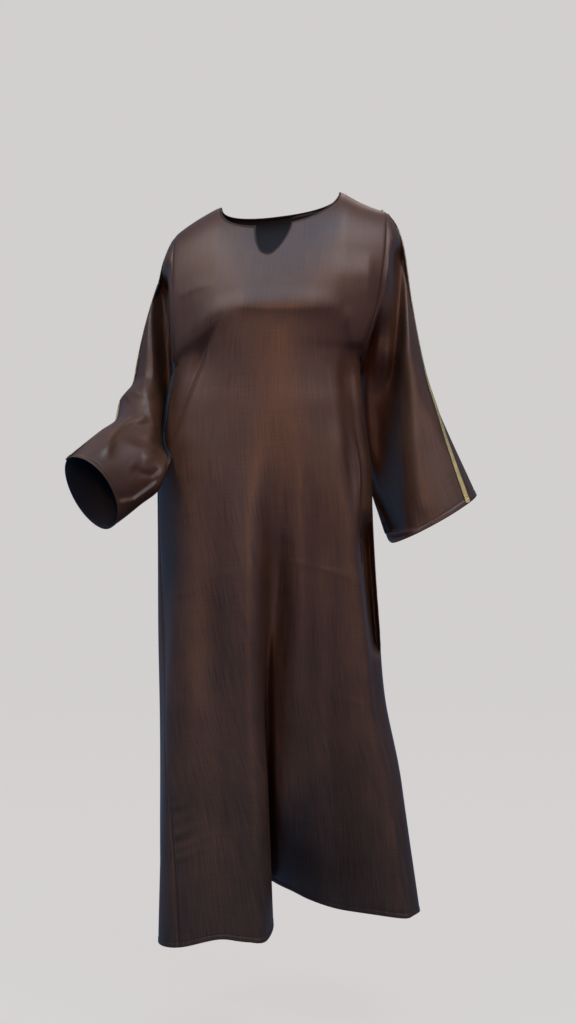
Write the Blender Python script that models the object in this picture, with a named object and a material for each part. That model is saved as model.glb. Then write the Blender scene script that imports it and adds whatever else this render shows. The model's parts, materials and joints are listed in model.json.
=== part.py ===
"""An abaya: a long loose gown of satin crepe, standing open on the form it was put on.

The front and the back are walls round one hollow. Both sleeves are open tubes, the right-hand
one hanging and the left-hand one bent forward. Left and right are those of someone who looks
at the front, which faces -Y. The origin lies between the two neck points, where it is held up.
"""

import bpy
import numpy as np
from mathutils.kdtree import KDTree

# Cloth and sewing, in metres
WALL = 0.002
SEAM_GAP = 0.0003
ARMHOLE_GAP = 0.0008
BINDING_WIDTH = 0.004
BINDING_RAISE = 0.0004
RIBBON_WIDTH = 0.010
RIBBON_THICKNESS = 0.001
RIBBON_LIFT = 0.0009
RIBBON_INSET = 0.1

# Neckline and shoulders
NECK_MID = -0.003
NECK_HALF_WIDTH = 0.1035
NECK_DROP = 0.054
NECK_ROUND_LEFT = 2.7
NECK_ROUND_RIGHT = 2.0
BACK_NECK_DROP = 0.020
BACK_NECK_ROUND = 2.3
NOTCH_LEFT = -0.0446
NOTCH_RIGHT = 0.0163
NOTCH_BOTTOM = -0.0202
NOTCH_DEPTH = 0.052
NOTCH_ROUND_LEFT = 2.6
NOTCH_ROUND_RIGHT = 1.4
SHOULDER_TILT = 0.107
SHOULDER_SLOPES = {"left": 0.38, "right": 0.80}
SHOULDER_BENDS = {"left": 1.8, "right": -2.7}
SHOULDER_EASE = 0.012
SHOULDER_FADE = 0.45
SHOULDER_SEAM = 0.001

# Armholes, down the cloth from the shoulder seam, and how far they open to front and back
ARMHOLE_LENGTH = 0.34
ARMHOLE_FRONT = 0.058
ARMHOLE_BACK = 0.062

# How near a sleeve comes to the body, and where below the armhole that starts to count
SLEEVE_CLEARANCE = 0.0016
CLEAR_FROM = -0.275
CLEAR_FADE = 0.02

# The pose turns the chest a little towards the left
CHEST_TURN = 0.12

# Below this the sections swing from the smooth body to the folded hem
DRAPE_START = 0.42
HEM_ALONG = 1.32
DRAPE_POWER = 1.6

# Sections of the body, a row for each distance down the cloth. front and back are depths from
# the middle plane, mid_x and half_width place the two sides, square is the section's exponent
# and edge its power towards the sides: 1 where they are armholes, 0.5 where they are round.
BODY_COLUMNS = ("along", "drop", "front", "back", "mid_x", "half_width", "square", "edge")
BODY_ROWS = (
    (0.00, 0.000, 0.000, 0.000, -0.003, 0.185, 3.0, 1.00),
    (0.02, 0.004, 0.020, 0.020, -0.003, 0.186, 3.0, 1.00),
    (0.05, 0.017, 0.046, 0.044, -0.004, 0.187, 3.0, 1.00),
    (0.08, 0.037, 0.066, 0.062, -0.005, 0.187, 3.0, 1.00),
    (0.12, 0.072, 0.085, 0.077, -0.007, 0.186, 2.9, 1.00),
    (0.16, 0.108, 0.100, 0.087, -0.010, 0.183, 2.8, 1.00),
    (0.22, 0.165, 0.120, 0.096, -0.016, 0.176, 2.6, 1.00),
    (0.26, 0.203, 0.130, 0.098, -0.021, 0.170, 2.5, 0.95),
    (0.30, 0.243, 0.128, 0.098, -0.025, 0.165, 2.4, 0.88),
    (0.34, 0.283, 0.126, 0.097, -0.0270, 0.1650, 2.3, 0.80),
    (0.38, 0.323, 0.126, 0.097, -0.0295, 0.1695, 2.2, 0.65),
    (0.42, 0.363, 0.128, 0.099, -0.0310, 0.1750, 2.1, 0.55),
    (0.46, 0.403, 0.130, 0.103, -0.0328, 0.1802, 2.0, 0.52),
    (0.50, 0.443, 0.132, 0.108, -0.0335, 0.1855, 2.0, 0.50),
    (0.54, 0.483, 0.134, 0.112, -0.0330, 0.1890, 2.0, 0.50),
    (0.60, 0.543, 0.137, 0.118, -0.0345, 0.1875, 2.0, 0.50),
    (0.80, 0.743, 0.142, 0.125, -0.0370, 0.1850, 2.0, 0.50),
    (0.95, 0.893, 0.142, 0.128, -0.0420, 0.1800, 2.0, 0.50),
    (1.10, 1.043, 0.145, 0.130, -0.0325, 0.1895, 2.0, 0.50),
    (1.32, 1.263, 0.150, 0.130, -0.0310, 0.1910, 2.0, 0.50),
)

# The hem seen from above. at is the angle round the body: 0 left, 90 front, 180 right, 270 back.
HEM_COLUMNS = ("at", "x", "y", "z")
HEM_ROWS = (
    (0, -0.212, 0.000, -1.289),
    (22, -0.205, -0.080, -1.289),
    (45, -0.172, -0.155, -1.283),
    (62, -0.110, -0.192, -1.263),
    (76, -0.055, -0.188, -1.265),
    (84, -0.022, -0.172, -1.263),
    (88, -0.0144, -0.140, -1.250),
    (92, -0.022, -0.090, -1.235),
    (97, -0.034, -0.035, -1.215),
    (102, -0.022, 0.004, -1.209),
    (108, 0.010, -0.008, -1.217),
    (116, 0.045, -0.036, -1.228),
    (128, 0.100, -0.075, -1.238),
    (142, 0.160, -0.110, -1.239),
    (156, 0.211, -0.125, -1.240),
    (166, 0.234, -0.103, -1.236),
    (180, 0.232, -0.030, -1.242),
    (200, 0.215, 0.070, -1.252),
    (225, 0.150, 0.150, -1.254),
    (250, 0.060, 0.172, -1.244),
    (270, -0.010, 0.162, -1.237),
    (290, -0.080, 0.178, -1.246),
    (315, -0.158, 0.146, -1.268),
    (340, -0.206, 0.072, -1.285),
)

# Where the side seams run, as angles round the body
SEAM_COLUMNS = ("along", "left", "right")
SEAM_ROWS = (
    (0.00, 0.0, 180.0),
    (0.38, 0.0, 180.0),
    (0.56, 8.0, 184.0),
    (0.76, 21.0, 188.0),
    (0.96, 31.0, 192.0),
    (1.12, 40.0, 196.0),
    (1.32, 45.0, 198.0),
)

# Soft folds of the body. at and drift are degrees, at the hem and from there to the start;
# depth is outward. Each runs from the row start to full size at full and to the hem.
FOLD_COLUMNS = ("at", "width", "depth", "start", "full", "drift")
FOLD_ROWS = (
    (28, 20, 0.010, 0.50, 1.00, 25),
    (64, 14, -0.012, 0.55, 0.90, -4),
    (82, 10, 0.010, 0.45, 0.95, 0),
    (99, 13, -0.030, 0.40, 1.00, 0),
    (132, 12, -0.012, 0.45, 0.75, -12),
    (150, 12, 0.012, 0.30, 0.60, -10),
    (214, 15, -0.020, 0.40, 1.10, -6),
    (240, 16, 0.016, 0.30, 1.10, 4),
    (258, 13, -0.022, 0.40, 1.15, 8),
    (283, 15, 0.018, 0.30, 1.10, -4),
    (303, 14, -0.022, 0.45, 1.15, -8),
    (328, 16, 0.014, 0.50, 1.15, -8),
)

# Columns of the front. Each run of the top edge gets so many, and ends at this share of the
# width across the bust.
FRONT_RUNS = (
    ("shoulder_left", 5, 0.150),
    ("neck_left", 6, 0.310),
    ("notch_left", 6, 0.430),
    ("notch_right", 6, 0.540),
    ("neck_right", 6, 0.790),
    ("shoulder_right", 5, 1.000),
)
BACK_RUNS = (
    ("shoulder_right", 5, 0.170),
    ("neck_back", 14, 0.830),
    ("shoulder_left", 5, 1.000),
)
# The edge and the bottom of the deep front fold, as a column and its angle round the body
FRONT_LINES = ((8, 88.0), (15, 102.0))

# The share of the skirt's length over which the columns go over to the lines above, or to
# even steps, and the rows of the panels above and below the armholes' lower end
HOLD_FROM = 0.45
TOP_ROWS = 12
SKIRT_ROWS = 24

# Sleeves, a row for each ring from the armhole to the cuff. The outer and the under point
# place it and front and back are its bulges, of which the front one points at facing: 0 is
# straight ahead and 90 to the right. pinch draws its under corner in, and half as much its
# outer one, and dip lowers its front.
SLEEVE_COLUMNS = ("part", "outer_x", "outer_y", "outer_z", "under_x", "under_y", "under_z",
                  "front", "back", "facing", "pinch", "dip")
RIGHT_SLEEVE_ROWS = (
    (0.00, 0.182, 0.000, -0.026, 0.138, 0.000, -0.310, 0.060, 0.062, 0, 1.00, 0.000),
    (0.06, 0.200, -0.008, -0.052, 0.139, 0.012, -0.325, 0.062, 0.064, -6, 1.00, 0.000),
    (0.15, 0.212, -0.014, -0.094, 0.139, 0.024, -0.347, 0.064, 0.064, -12, 1.10, 0.000),
    (0.30, 0.223, -0.018, -0.163, 0.141, 0.031, -0.386, 0.066, 0.062, -12, 1.20, 0.000),
    (0.45, 0.236, -0.020, -0.238, 0.145, 0.037, -0.430, 0.066, 0.060, -10, 1.25, 0.000),
    (0.60, 0.254, -0.022, -0.318, 0.152, 0.037, -0.478, 0.065, 0.058, -6, 1.25, 0.000),
    (0.75, 0.281, -0.024, -0.388, 0.165, 0.022, -0.525, 0.064, 0.056, 0, 1.20, 0.002),
    (0.88, 0.311, -0.026, -0.456, 0.179, 0.000, -0.567, 0.062, 0.052, 4, 1.20, 0.004),
    (1.00, 0.341, -0.028, -0.522, 0.191, -0.020, -0.605, 0.060, 0.050, 4, 1.25, 0.006),
)
LEFT_SLEEVE_ROWS = (
    (0.00, -0.188, 0.000, -0.059, -0.191, 0.000, -0.325, 0.060, 0.062, 0, 1.00, 0.000),
    (0.06, -0.202, 0.004, -0.083, -0.198, -0.011, -0.336, 0.060, 0.062, 3, 1.00, 0.000),
    (0.15, -0.216, 0.010, -0.121, -0.198, -0.032, -0.360, 0.060, 0.062, 10, 1.20, 0.000),
    (0.30, -0.233, 0.020, -0.183, -0.193, -0.056, -0.398, 0.060, 0.062, 22, 1.50, 0.000),
    (0.45, -0.250, 0.028, -0.253, -0.193, -0.075, -0.440, 0.060, 0.062, 30, 1.60, 0.000),
    (0.58, -0.262, 0.028, -0.316, -0.198, -0.080, -0.476, 0.060, 0.062, 34, 1.45, 0.000),
    (0.66, -0.284, 0.010, -0.352, -0.206, -0.080, -0.500, 0.058, 0.060, 42, 1.30, 0.000),
    (0.74, -0.284, -0.028, -0.383, -0.215, -0.084, -0.517, 0.056, 0.054, 50, 1.15, 0.000),
    (0.84, -0.307, -0.078, -0.409, -0.243, -0.096, -0.540, 0.052, 0.046, 60, 1.05, 0.000),
    (0.92, -0.328, -0.128, -0.434, -0.270, -0.106, -0.561, 0.048, 0.040, 66, 1.02, 0.000),
    (1.00, -0.350, -0.180, -0.460, -0.297, -0.115, -0.581, 0.045, 0.034, 69, 1.02, 0.000),
)
SLEEVE_BLEND = 0.35
SLEEVE_RINGS = 22
SLEEVE_AROUND = 24

# Folds of a sleeve: at and width are degrees round it, and it runs from start to end
SLEEVE_FOLD_COLUMNS = ("at", "width", "depth", "start", "end", "drift")
RIGHT_SLEEVE_FOLDS = (
    (62, 26, -0.012, 0.05, 0.75, 20),
    (112, 22, 0.008, 0.10, 1.30, 10),
    (30, 24, 0.006, 0.20, 1.30, 0),
    (285, 30, -0.012, 0.10, 1.20, -20),
)
LEFT_SLEEVE_FOLDS = (
    (75, 28, -0.012, 0.05, 0.62, 15),
    (40, 24, 0.006, 0.10, 0.95, 10),
    (300, 30, -0.012, 0.10, 0.90, -20),
)

# The ribbon's line on each sleeve, degrees in front of its outer line. The sleeve's own points
# start from it too, so that one row of them runs under the ribbon.
RIBBON_COLUMNS = ("part", "right", "left")
RIBBON_ROWS = (
    (0.00, 0.0, 0.0),
    (0.12, -8.0, -10.0),
    (0.50, -4.0, -14.0),
    (0.66, 5.0, -12.0),
    (0.75, 15.0, -14.0),
    (0.85, 27.0, -14.0),
    (1.00, 40.0, -14.0),
)

# Colours, roughness and metallic value of each finish
FINISHES = {
    "brown_crepe": ((0.045, 0.027, 0.019, 1.0), 0.45, 0.0),
    "dark_binding": ((0.020, 0.013, 0.010, 1.0), 0.55, 0.0),
    "gold_braid": ((0.560, 0.420, 0.140, 1.0), 0.35, 0.8),
}


class Track:
    """A table with named columns, each of which reads as a smooth curve of the first one."""

    def __init__(self, names, rows, period=None):
        self.columns = {name: np.array(values, float) for name, values in zip(names, zip(*rows))}
        self.period = period
        self.knots = self.columns[names[0]]
        if period:
            self.knots = np.concatenate([self.knots[-3:] - period, self.knots,
                                         self.knots[:3] + period])

    def at(self, name, place):
        place = np.asarray(place, float)
        values = self.columns[name]
        knots = self.knots
        if self.period:
            values = np.concatenate([values[-3:], values, values[:3]])
            place = np.mod(place, self.period)
            slopes = np.gradient(values, knots)
        else:
            place = np.clip(place, knots[0], knots[-1])
            slopes = even_slopes(knots, values)
        first = np.clip(np.searchsorted(knots, place, side="right") - 1, 0, len(knots) - 2)
        step = knots[first + 1] - knots[first]
        t = (place - knots[first]) / step
        return (values[first] * (1 + 2 * t) * (1 - t) ** 2
                + slopes[first] * step * t * (1 - t) ** 2
                + values[first + 1] * t * t * (3 - 2 * t)
                - slopes[first + 1] * step * t * t * (1 - t))


def even_slopes(knots, values):
    """Slopes that keep a curve through the values from swinging past them."""
    rise = np.diff(values) / np.diff(knots)
    slopes = np.zeros(len(values))
    slopes[0], slopes[-1] = rise[0], rise[-1]
    before, after = rise[:-1], rise[1:]
    same = before * after > 0
    total = np.where(same, before + after, 1.0)
    slopes[1:-1] = np.where(same, 2 * before * after / total, 0.0)
    return slopes


def ease(value):
    """Zero below 0, one above 1, and a smooth step between."""
    value = np.clip(value, 0.0, 1.0)
    return value * value * (3 - 2 * value)


def unit(vectors):
    return vectors / np.maximum(np.linalg.norm(vectors, axis=-1, keepdims=True), 1e-12)


def bump(distance, width):
    """One at the middle of a fold and zero past its width."""
    return np.cos(np.clip(distance / width, -1, 1) * np.pi / 2) ** 2


BODY = Track(BODY_COLUMNS, BODY_ROWS)
HEM = Track(HEM_COLUMNS, HEM_ROWS, period=360)
SEAMS = Track(SEAM_COLUMNS, SEAM_ROWS)
RIBBON = Track(RIBBON_COLUMNS, RIBBON_ROWS)
SHOULDER_CROSS = unit(np.array([CHEST_TURN, 1.0, 0.0]))


def shoulder_height(x):
    """The shoulder line: level across the neck, sloping to both sides, tilted to the left."""
    beyond = np.maximum(np.abs(x - NECK_MID) - NECK_HALF_WIDTH, 0.0)
    eased = beyond ** 2 / (2 * SHOULDER_EASE)
    beyond = np.where(beyond < SHOULDER_EASE, eased, beyond - SHOULDER_EASE / 2)
    slope = np.where(x < 0, SHOULDER_SLOPES["left"], SHOULDER_SLOPES["right"])
    bend = np.where(x < 0, SHOULDER_BENDS["left"], SHOULDER_BENDS["right"])
    return SHOULDER_TILT * x - slope * beyond - bend * beyond ** 2


def body_folds(angle, along):
    """How far the soft folds carry the cloth out or in."""
    out = np.zeros(np.broadcast(angle, along).shape)
    for at, width, depth, start, full, drift in FOLD_ROWS:
        share = np.clip((HEM_ALONG - along) / (HEM_ALONG - start), 0, 1)
        off = np.mod(angle - at - drift * share + 180, 360) - 180
        out = out + depth * bump(off, width) * ease((along - start) / (full - start))
    return out


def body_surface(angle, along):
    """A point of the outer face, from its angle round the body and its way down the cloth."""
    angle, along = np.broadcast_arrays(np.asarray(angle, float), np.asarray(along, float))
    turn = np.radians(np.mod(angle, 360))
    across = np.cos(turn)
    front = np.mod(angle, 360) <= 180
    fullness = np.maximum(1 - np.abs(across) ** BODY.at("square", along), 0) ** BODY.at("edge", along)
    loop = np.pi * np.clip(along / ARMHOLE_LENGTH, 0, 1)
    open_front, open_back = ARMHOLE_FRONT * np.sin(loop), ARMHOLE_BACK * np.sin(loop)
    middle_drop = BODY.at("drop", along)
    edge_drop = np.where(along < ARMHOLE_LENGTH,
                         BODY.at("drop", ARMHOLE_LENGTH) * (1 - np.cos(loop)) / 2, middle_drop)
    side = np.where(front, open_front, open_back)
    depth = side + (np.where(front, BODY.at("front", along), BODY.at("back", along)) - side) * fullness
    x = BODY.at("mid_x", along) - BODY.at("half_width", along) * across
    y = np.where(front, -depth, depth) - CHEST_TURN * (x - NECK_MID)
    drop = edge_drop + (middle_drop - edge_drop) * fullness
    z = shoulder_height(x) * (1 - ease(along / SHOULDER_FADE)) - drop

    share = np.clip((along - DRAPE_START) / (HEM_ALONG - DRAPE_START), 0, 1)
    swing = share ** DRAPE_POWER
    x = x + (HEM.at("x", angle) - x) * swing
    y = y + (HEM.at("y", angle) - y) * swing
    at_start = -BODY.at("drop", DRAPE_START)
    z = np.where(along > DRAPE_START, at_start + (HEM.at("z", angle) - at_start) * share, z)

    out = body_folds(angle, along)
    return np.stack([x - across * out, y - np.sin(turn) * out, z], axis=-1)


def body_normal(angle, along, panel):
    """The outward direction of the cloth, read on one side of an armhole only."""
    angle, along = np.broadcast_arrays(np.asarray(angle, float), np.asarray(along, float))
    low, high = (0.0, 180.0) if panel == "front" else (180.0, 360.0)
    beside = along < ARMHOLE_LENGTH - 1e-6
    before = np.where(beside, np.clip(angle - 0.5, low, high), angle - 0.5)
    after = np.where(beside, np.clip(angle + 0.5, low, high - 1e-6), angle + 0.5)
    above = np.where(beside, np.maximum(along - 0.002, 0.0), np.maximum(along - 0.002, ARMHOLE_LENGTH))
    around = body_surface(after, along) - body_surface(before, along)
    down = body_surface(angle, along + 0.002) - body_surface(angle, above)
    out = unit(np.cross(down, around))
    seam = (along < SHOULDER_SEAM)[..., None]
    leaning = np.sum(out * SHOULDER_CROSS, axis=-1, keepdims=True) * SHOULDER_CROSS
    return unit(np.where(seam, out - leaning, out))


def even_angles(panel, levels=70, samples=400):
    """Angles at equal steps across a panel, for a set of levels down the cloth."""
    alongs = np.linspace(0.0, HEM_ALONG, levels)
    shares = np.linspace(0.0, 1.0, 101)
    grid = []
    for along in alongs:
        left, right = SEAMS.at("left", along), SEAMS.at("right", along)
        low, high = (left, right) if panel == "front" else (right, left + 360)
        angles = np.linspace(low, high, samples)
        inner = np.clip(angles, low + 1e-4, high - 1e-4)
        points = body_surface(inner, along)
        steps = np.linalg.norm(np.diff(points, axis=0), axis=1)
        length = np.concatenate([[0.0], np.cumsum(steps)])
        grid.append(np.interp(shares, length / length[-1], angles))
    return alongs, shares, np.array(grid)


ANGLES = {panel: even_angles(panel) for panel in ("front", "back")}


def panel_angle(panel, share, along):
    """The angle round the body at a share of the panel's width."""
    alongs, shares, grid = ANGLES[panel]
    row = np.clip(along / alongs[-1] * (len(alongs) - 1), 0, len(alongs) - 1 - 1e-9)
    column = np.clip(share * (len(shares) - 1), 0, len(shares) - 1 - 1e-9)
    i, j = row.astype(int), column.astype(int)
    u, v = row - i, column - j
    return ((1 - u) * ((1 - v) * grid[i, j] + v * grid[i, j + 1])
            + u * ((1 - v) * grid[i + 1, j] + v * grid[i + 1, j + 1]))


def panel_share(panel, angle, along):
    """The share of the panel's width at an angle: panel_angle the other way round."""
    low, high = np.zeros(np.shape(angle)), np.ones(np.shape(angle))
    for _ in range(40):
        middle = (low + high) / 2
        below = panel_angle(panel, middle, along) < angle
        low, high = np.where(below, middle, low), np.where(below, high, middle)
    return (low + high) / 2


def on_panel(panel, x, z):
    """The angle and the way down the cloth of the point that shows at x and z."""
    low, high = np.zeros(np.shape(x)), np.full(np.shape(x), 0.26)
    for _ in range(40):
        along = (low + high) / 2
        cosine = np.clip((BODY.at("mid_x", along) - x) / BODY.at("half_width", along), -1, 1)
        angle = np.degrees(np.arccos(cosine))
        angle = angle if panel == "front" else 360 - angle
        above = body_surface(angle, along)[..., 2] > z
        low, high = np.where(above, along, low), np.where(above, high, along)
    return angle, along


def quarter(turn, roundness):
    """A quarter of a superellipse: its two coordinates from 1 and 0 to 0 and 1."""
    power = 2 / roundness
    return np.cos(turn) ** power, np.sin(turn) ** power


def neck_run(run, outset):
    """One run of the neckline as x and as distance below the shoulder line, moved outwards."""
    turn = np.linspace(0.0, np.pi / 2, 200)
    if run == "neck_back":
        turn = np.linspace(0.0, np.pi, 400)
        power = 2 / BACK_NECK_ROUND
        wide = np.sign(np.cos(turn)) * np.abs(np.cos(turn)) ** power
        x = NECK_MID + (NECK_HALF_WIDTH + outset) * wide
        below = (BACK_NECK_DROP + outset) * np.abs(np.sin(turn)) ** power
    elif run.startswith("neck"):
        left = run.endswith("left")
        wide, deep = quarter(turn, NECK_ROUND_LEFT if left else NECK_ROUND_RIGHT)
        corner = NECK_MID - NOTCH_LEFT if left else NOTCH_RIGHT - NECK_MID
        wide, below = (NECK_HALF_WIDTH + outset) * wide, (NECK_DROP + outset) * deep
        kept = wide > corner + outset
        last = np.interp(corner + outset, wide[::-1], below[::-1])
        wide, below = np.append(wide[kept], corner + outset), np.append(below[kept], last)
        x = NECK_MID - wide if left else (NECK_MID + wide)[::-1]
        below = below if left else below[::-1]
    else:
        left = run.endswith("left")
        wide, deep = quarter(turn, NOTCH_ROUND_LEFT if left else NOTCH_ROUND_RIGHT)
        side = NOTCH_BOTTOM - NOTCH_LEFT if left else NOTCH_RIGHT - NOTCH_BOTTOM
        top = neck_run("neck_left" if left else "neck_right", outset)[1][-1 if left else 0]
        bottom = NECK_DROP + NOTCH_DEPTH + outset
        wide, below = (side + outset) * wide, top + (bottom - top) * deep
        x = NOTCH_BOTTOM - wide if left else (NOTCH_BOTTOM + wide)[::-1]
        below = below if left else below[::-1]
    return x, below


def top_edge(panel, run, outset, count):
    """A run of a panel's top edge as angles and ways down the cloth."""
    half_gap = SEAM_GAP / 2
    if run.startswith("shoulder"):
        reach = NECK_HALF_WIDTH + outset
        neck_x = NECK_MID - reach if run.endswith("left") else NECK_MID + reach
        cosine = (BODY.at("mid_x", half_gap) - neck_x) / BODY.at("half_width", half_gap)
        neck_angle = np.degrees(np.arccos(cosine))
        ends = (0.0, neck_angle) if run.endswith("left") else (neck_angle, 180.0)
        if panel == "back":
            ends = (360 - ends[1], 360 - ends[0])
        xs = np.linspace(np.cos(np.radians(ends[0])), np.cos(np.radians(ends[1])), count + 1)
        angle = np.degrees(np.arccos(np.clip(xs, -1, 1)))
        angle = angle if panel == "front" else 360 - angle
        return angle, np.full(count + 1, half_gap)
    x, below = neck_run(run, outset)
    angle, along = on_panel(panel, x, shoulder_height(x) - np.maximum(below, half_gap))
    along = np.maximum(along, half_gap)
    steps = np.linalg.norm(np.diff(body_surface(angle, along), axis=0), axis=1)
    length = np.concatenate([[0.0], np.cumsum(steps)])
    places = np.linspace(0.0, length[-1], count + 1)
    return np.interp(places, length, angle), np.interp(places, length, along)


def panel_grid(panel, runs, lines=(), top_rows=TOP_ROWS, skirt_rows=SKIRT_ROWS):
    """Angles and ways down the cloth of a panel's points, rows from the top edge to the hem."""
    outset = BINDING_WIDTH + SEAM_GAP
    share_top, along_top, share_bust = [], [], []
    start = 0.0
    for run, count, end in runs:
        angle, along = top_edge(panel, run, outset, count)
        share = panel_share(panel, angle, along)
        target = np.linspace(start, end, count + 1)
        keep = slice(0, count + (run == runs[-1][0]))
        share_top.append(share[keep])
        along_top.append(along[keep])
        share_bust.append(target[keep])
        start = end
    share_top, along_top = np.concatenate(share_top), np.concatenate(along_top)
    share_bust = np.concatenate(share_bust)
    share_top[0], share_top[-1] = 0.0, 1.0
    columns = np.arange(len(share_top))
    shares, alongs = [], []
    for row in range(top_rows):
        step = row / top_rows
        shares.append(share_top + (share_bust - share_top) * step)
        alongs.append(along_top + (ARMHOLE_LENGTH - along_top) * step)
    for row in range(skirt_rows + 1):
        step = row / skirt_rows
        along = np.full(len(columns), ARMHOLE_LENGTH + (HEM_ALONG - ARMHOLE_LENGTH) * step)
        held = [panel_share(panel, np.array([angle]), along[:1])[0] for _, angle in lines]
        even = np.interp(columns, [0] + [column for column, _ in lines] + [columns[-1]],
                         [0.0] + held + [1.0])
        shares.append(share_bust + (even - share_bust) * ease(step / HOLD_FROM))
        alongs.append(along)
    shares, alongs = np.array(shares), np.array(alongs)
    angles = panel_angle(panel, shares, alongs)
    if panel == "back":
        armhole = alongs[:, -1] < ARMHOLE_LENGTH
        angles[armhole, -1] = 360 - 1e-6
        angles[armhole, 0] = 180 + 1e-6
    return angles, alongs


def armhole_loop(side, turn):
    """A point of an armhole and the cloth's outward and away directions there."""
    turn = np.mod(np.asarray(turn, float), 360)
    front = turn <= 180
    way = np.where(front, turn, 360 - turn) / 180
    along = ARMHOLE_LENGTH * way
    edge_front, edge_back = (0.0, 360 - 1e-6) if side == "left" else (180.0, 180 + 1e-6)
    angle = np.where(front, edge_front, edge_back)
    point = body_surface(angle, along)
    normal = np.where(front[..., None], body_normal(angle, along, "front"),
                      body_normal(angle, along, "back"))
    return point, normal


SLEEVES = {
    "right": Track(SLEEVE_COLUMNS, RIGHT_SLEEVE_ROWS),
    "left": Track(SLEEVE_COLUMNS, LEFT_SLEEVE_ROWS),
}
SLEEVE_FOLDS = {"right": RIGHT_SLEEVE_FOLDS, "left": LEFT_SLEEVE_FOLDS}


def sleeve_ring(side, turn, part):
    """A sleeve's ring before its top is drawn to the armhole."""
    track = SLEEVES[side]
    turn, part = np.broadcast_arrays(np.asarray(turn, float), np.asarray(part, float))

    outer = np.stack([track.at("outer_" + axis, part) for axis in "xyz"], axis=-1)
    under = np.stack([track.at("under_" + axis, part) for axis in "xyz"], axis=-1)
    middle, half = (outer + under) / 2, (outer - under) / 2
    facing = np.radians(track.at("facing", part))
    ahead = np.stack([np.sin(facing), -np.cos(facing), np.zeros(part.shape)], axis=-1)
    along = unit(half)
    sideways = unit(ahead - along * np.sum(ahead * along, axis=-1, keepdims=True))
    angle = np.radians(turn)
    sine = np.sin(angle)
    bulge = np.where(sine >= 0, track.at("front", part), track.at("back", part))
    pinch = track.at("pinch", part)
    pinch = np.where(np.cos(angle) < 0, pinch, (1 + pinch) / 2)
    lift = np.sign(sine) * np.abs(sine) ** pinch * bulge
    for at, width, depth, start, end, drift in SLEEVE_FOLDS[side]:
        off = np.mod(turn - at - drift * part + 180, 360) - 180
        size = bump((part - (start + end) / 2), (end - start) / 2)
        lift = lift + np.sign(np.sin(np.radians(at))) * depth * bump(off, width) * size
    ring = middle + half * np.cos(angle)[..., None] + sideways * lift[..., None]
    ring[..., 2] -= track.at("dip", part) * np.maximum(sine, 0)
    return ring


def sleeve_surface(side, turn, part):
    """A point of a sleeve's outer face: turn is 0 on its outer line, 90 in front, 180 under."""
    turn, part = np.broadcast_arrays(np.asarray(turn, float), np.asarray(part, float))
    loop, normal = armhole_loop(side, turn)
    start = sleeve_ring(side, turn, np.zeros(part.shape))
    fade = 1 - ease(part / SLEEVE_BLEND)
    return sleeve_ring(side, turn, part) + (loop - start) * fade[..., None]


def finish(name):
    """The material of one finish."""
    colour, roughness, metallic = FINISHES[name]
    material = bpy.data.materials.get(name) or bpy.data.materials.new(name)
    material.use_nodes = True
    shader = material.node_tree.nodes["Principled BSDF"]
    shader.inputs["Base Color"].default_value = colour
    shader.inputs["Roughness"].default_value = roughness
    shader.inputs["Metallic"].default_value = metallic
    material.diffuse_color = colour
    return material


def add_piece(name, points, faces, finish_name):
    mesh = bpy.data.meshes.new(name)
    mesh.from_pydata([tuple(point) for point in points], [], faces)
    mesh.validate()
    piece = bpy.data.objects.new(name, mesh)
    bpy.context.scene.collection.objects.link(piece)
    mesh.materials.append(finish(finish_name))
    mesh.shade_smooth()
    mesh.set_sharp_from_angle(angle=np.radians(50))
    return piece


def add_shell(name, outer, inner, out, finish_name, closed=False):
    """A wall between two grids of points; a closed one runs round on itself."""
    rows, columns = outer.shape[:2]
    size = rows * columns
    points = np.concatenate([outer.reshape(-1, 3), inner.reshape(-1, 3)])
    faces = []

    def spot(row, column):
        return row * columns + column % columns

    for row in range(rows - 1):
        for column in range(columns if closed else columns - 1):
            quad = [spot(row, column), spot(row + 1, column),
                    spot(row + 1, column + 1), spot(row, column + 1)]
            faces.append(quad)
            faces.append([size + index for index in reversed(quad)])
    for row in (0, rows - 1):
        for column in range(columns if closed else columns - 1):
            edge = [spot(row, column), spot(row, column + 1)]
            edge = edge if row == 0 else edge[::-1]
            faces.append([edge[0], edge[1], size + edge[1], size + edge[0]])
    if not closed:
        for column in (0, columns - 1):
            for row in range(rows - 1):
                edge = [spot(row, column), spot(row + 1, column)]
                edge = edge if column else edge[::-1]
                faces.append([edge[0], edge[1], size + edge[1], size + edge[0]])
    middle = rows // 2, columns // 2
    down = outer[middle[0] + 1, middle[1]] - outer[middle]
    across = outer[middle[0], middle[1] + 1] - outer[middle]
    if np.dot(np.cross(down, across), out[middle]) < 0:
        faces = [face[::-1] for face in faces]
    return add_piece(name, points, faces, finish_name)


def add_panel(panel, runs, lines=()):
    angles, alongs = panel_grid(panel, runs, lines)
    outer = body_surface(angles, alongs)
    out = body_normal(angles, alongs, panel)
    below = slice(TOP_ROWS, None)
    outer[below, 0] += unit(outer[below, 1] - outer[below, 0]) * SEAM_GAP / 2
    outer[below, -1] += unit(outer[below, -2] - outer[below, -1]) * SEAM_GAP / 2
    return add_shell(panel + "_panel", outer, outer - out * WALL, out, "brown_crepe")


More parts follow.
